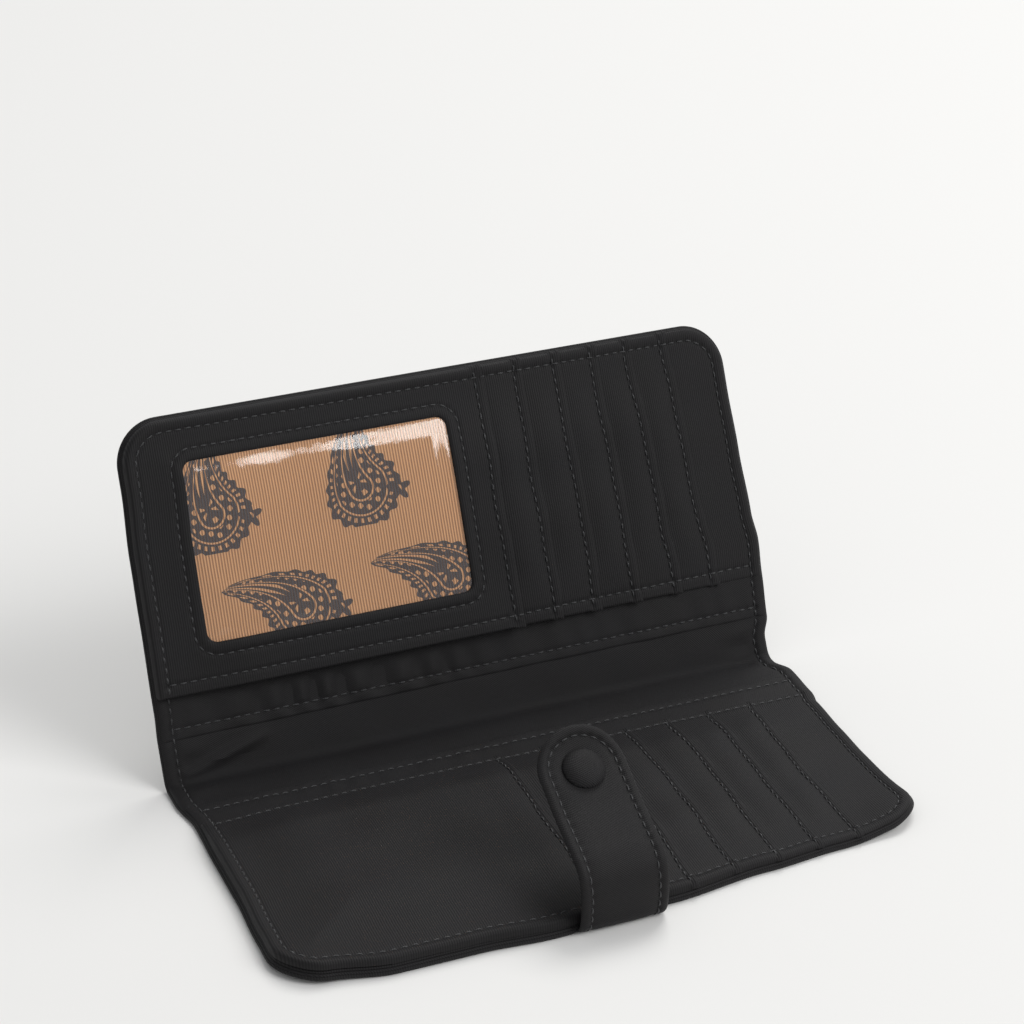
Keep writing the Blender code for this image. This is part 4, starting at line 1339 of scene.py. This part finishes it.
SOCKET_SECTION = ((2.2, 0), (4.6, 0), (5.0, -0.3), (4.9, -0.85), (4.4, -1.0), (3.8, -0.8), (3.0, -0.75),
                  (2.6, -0.95), (2.2, -0.7))
SPRING_STEPS = 8
SPRING_HALF = 2.5 * MM
SPRING_DROP = 0.45 * MM
nickel = nickel_finish()
below_core = float(tab_under(0.0, BUTTON_REACH))
section = rounded_section(np.array((*SOCKET_SECTION, SOCKET_SECTION[0])) * MM)
socket = turned("snap_socket_ring", section + (0, below_core), (0, 0), on_strap, closed=True)
for side in (-1, 1):
    spring = bpy.data.curves.new(f"snap_spring_{side + 2}", "CURVE")
    spring.dimensions = "3D"
    spring.bevel_depth = 0.2 * MM
    spring.use_fill_caps = True
    wire = spring.splines.new("POLY")
    wire.points.add(SPRING_STEPS)
    for step, point in enumerate(wire.points):
        run = (step / SPRING_STEPS - 0.5) * 2
        aside = side * (2.2 - 0.2 * run * run) * MM
        point.co = (*on_strap(aside, run * SPRING_HALF, below_core - SPRING_DROP), 1)
    spring_piece = bpy.data.objects.new(spring.name, spring)
    bpy.context.scene.collection.objects.link(spring_piece)
    dress(spring_piece, nickel, "snap_metal", "tab_flap")
STUD_SECTION = ((0, -1.3), (1.2, -1.3), (1.9, -1.05), (1.85, -0.75), (1.55, -0.5), (1.6, -0.12),
                (2.5, -0.18), (4.2, -0.22), (4.75, -0.05), (4.8, 0.25), (4.4, 0.4), (1.1, 0.4),
                (1.1, 1.2), (0, 1.2))
stud_low, stud_high = unrolled("snap_stud")
stud_place = (stud_low + stud_high)[:2] / 2
stud = turned("snap_stud_post", rounded_section(np.array(STUD_SECTION) * MM), stud_place, folded)
dress(socket, nickel, "snap_metal", "tab_flap", ["snap_socket"])
dress(stud, nickel, "snap_metal", "upper_panel", ["snap_stud"])
print("stud at", stud_place.round(4))

# %% [markdown]
# Now that every cloth is in place, the threads can be laid on whichever cloth is uppermost.
# A seam that crosses a fold is cut into the same lengths as the cloth that it holds.

# %% Stitches on the wallet
FAR = 1.0
ZONES = (
    ("lower", -FAR, STRIP_BACK, "lower_panel", None, None),
    ("lower_fold", STRIP_BACK, SPINE_LOW, "lower_panel", "spine_lower", LOWER_FOLD),
    ("crease", SPINE_LOW, SPINE_HIGH, "spine_lower", "spine_upper", CREASE),
    ("upper_fold", SPINE_HIGH, STRIP_BOTTOM, "spine_upper", "upper_panel", UPPER_FOLD),
    ("upper", STRIP_BOTTOM, FAR, "upper_panel", None, None),
)
FOLD_BESIDE = {
    "lower": ("lower_panel", "spine_lower", LOWER_FOLD),
    "upper": ("spine_upper", "upper_panel", UPPER_FOLD),
}
threads = []
for zone, near, far, body, next_body, fold in ZONES:
    face = lining_face if next_body else top_face(body)
    inner = stitches(f"{zone}_edge_stitches", edge_seam, face, span=(near, far))
    outer = stitches(f"{zone}_back_stitches", edge_seam, cover_outside, span=(near, far), side=-1)
    for piece, sewn_to in ((inner, "lining_cloth"), (outer, "cover_cloth")):
        dress(piece, thread, sewn_to)
        if next_body:
            bends(piece, body, next_body, fold)
        elif piece is outer:
            bends(piece, *FOLD_BESIDE[zone])
        else:
            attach(piece, body)
        threads.append(piece)
pocket_seams = [(hem + "_hem", seam, top_face(hem.split("_")[0] + "_panel"), hem.split("_")[0] + "_panel")
                for hem, seam in hems.items()]
pocket_seams += [(sheet.node, sheet.mouth_seam, sheet.face, body)
                 for body, half in sheets.items() for sheet in half if sheet.mouthed]
pocket_seams += [("window", window_seam, window_frame.face, "upper_panel")]
for name, seam, face, body in pocket_seams:
    threads.append(dress(stitches(name + "_stitches", seam, face), thread, "pocket_cloth", body))
print("threads", len(threads), "faces", sum(len(piece.data.polygons) for piece in threads))

# %% [markdown]
# The stage: a pale floor, a large soft light high at the back right, which throws the shadow that
# hugs the front-left edges, a second one at the front right, which lights the standing half and
# throws its shadow to the left, and a plain bright room that softens both.

# %% Stage
FLOOR_HALF = 6.0
FLOOR_DROP = 0.0002
floor_mesh = bpy.data.meshes.new("studio_floor")
floor_corners = [(x * FLOOR_HALF, y * FLOOR_HALF, 0) for x, y in ((-1, -1), (1, -1), (1, 1), (-1, 1))]
floor_mesh.from_pydata(floor_corners, [], [(0, 1, 2, 3)])
floor = bpy.data.objects.new("studio_floor", floor_mesh)
bpy.context.scene.collection.objects.link(floor)
floor.location.z = cad_low.z - FLOOR_DROP
paper = Finish("pale_paper", Base_Color=(0.80, 0.795, 0.78, 1), Roughness=0.95, Specular_IOR_Level=0.1)
floor_mesh.materials.append(paper.material)

LIGHT_AIM = Vector((0.0, 0.02, 0.03))


def soft_box(name, place, size, power, colour=(1, 1, 1)):
    """A square area light that faces the wallet."""
    light = bpy.data.lights.new(name, "AREA")
    light.shape = "SQUARE"
    light.size = size
    light.energy = power
    light.color = colour
    lamp = bpy.data.objects.new(name, light)
    bpy.context.scene.collection.objects.link(lamp)
    lamp.location = place
    lamp.rotation_euler = (LIGHT_AIM - Vector(place)).to_track_quat("-Z", "Y").to_euler()


soft_box("key_softbox", (1.22, 1.25, 2.35), 1.4, 39.0, (1.0, 0.995, 0.98))
soft_box("side_softbox", (1.30, -1.30, 1.58), 1.3, 30.0)

world = bpy.data.worlds.new("pale_room")
bpy.context.scene.world = world
world.use_nodes = True
room = world.node_tree.nodes["Background"].inputs
room["Color"].default_value = (0.97, 0.98, 1.0, 1)
room["Strength"].default_value = 0.47

# %% [markdown]
# The camera stands where the photographer stood: left of the middle, half a metre up, with a lens
# of about a hundred millimetres, which keeps the wallet's edges nearly parallel.

# %% Camera
LENS = 101.7
SENSOR = 36.0
CAMERA_PLACE = (-0.27258, FRONT - 0.56523, 0.43881)
CAMERA_TILT = (62.8, 0.0, -22.9)
camera_data = bpy.data.cameras.new("camera")
camera_data.lens = LENS
camera_data.sensor_width = SENSOR
camera_data.clip_start = 10 * MM
camera = bpy.data.objects.new("camera", camera_data)
camera.location = CAMERA_PLACE
camera.rotation_euler = [math.radians(angle) for angle in CAMERA_TILT]
bpy.context.scene.collection.objects.link(camera)
bpy.context.scene.camera = camera
bpy.context.scene.view_settings.view_transform = "Standard"
print("camera at", camera.location.to_tuple(3))
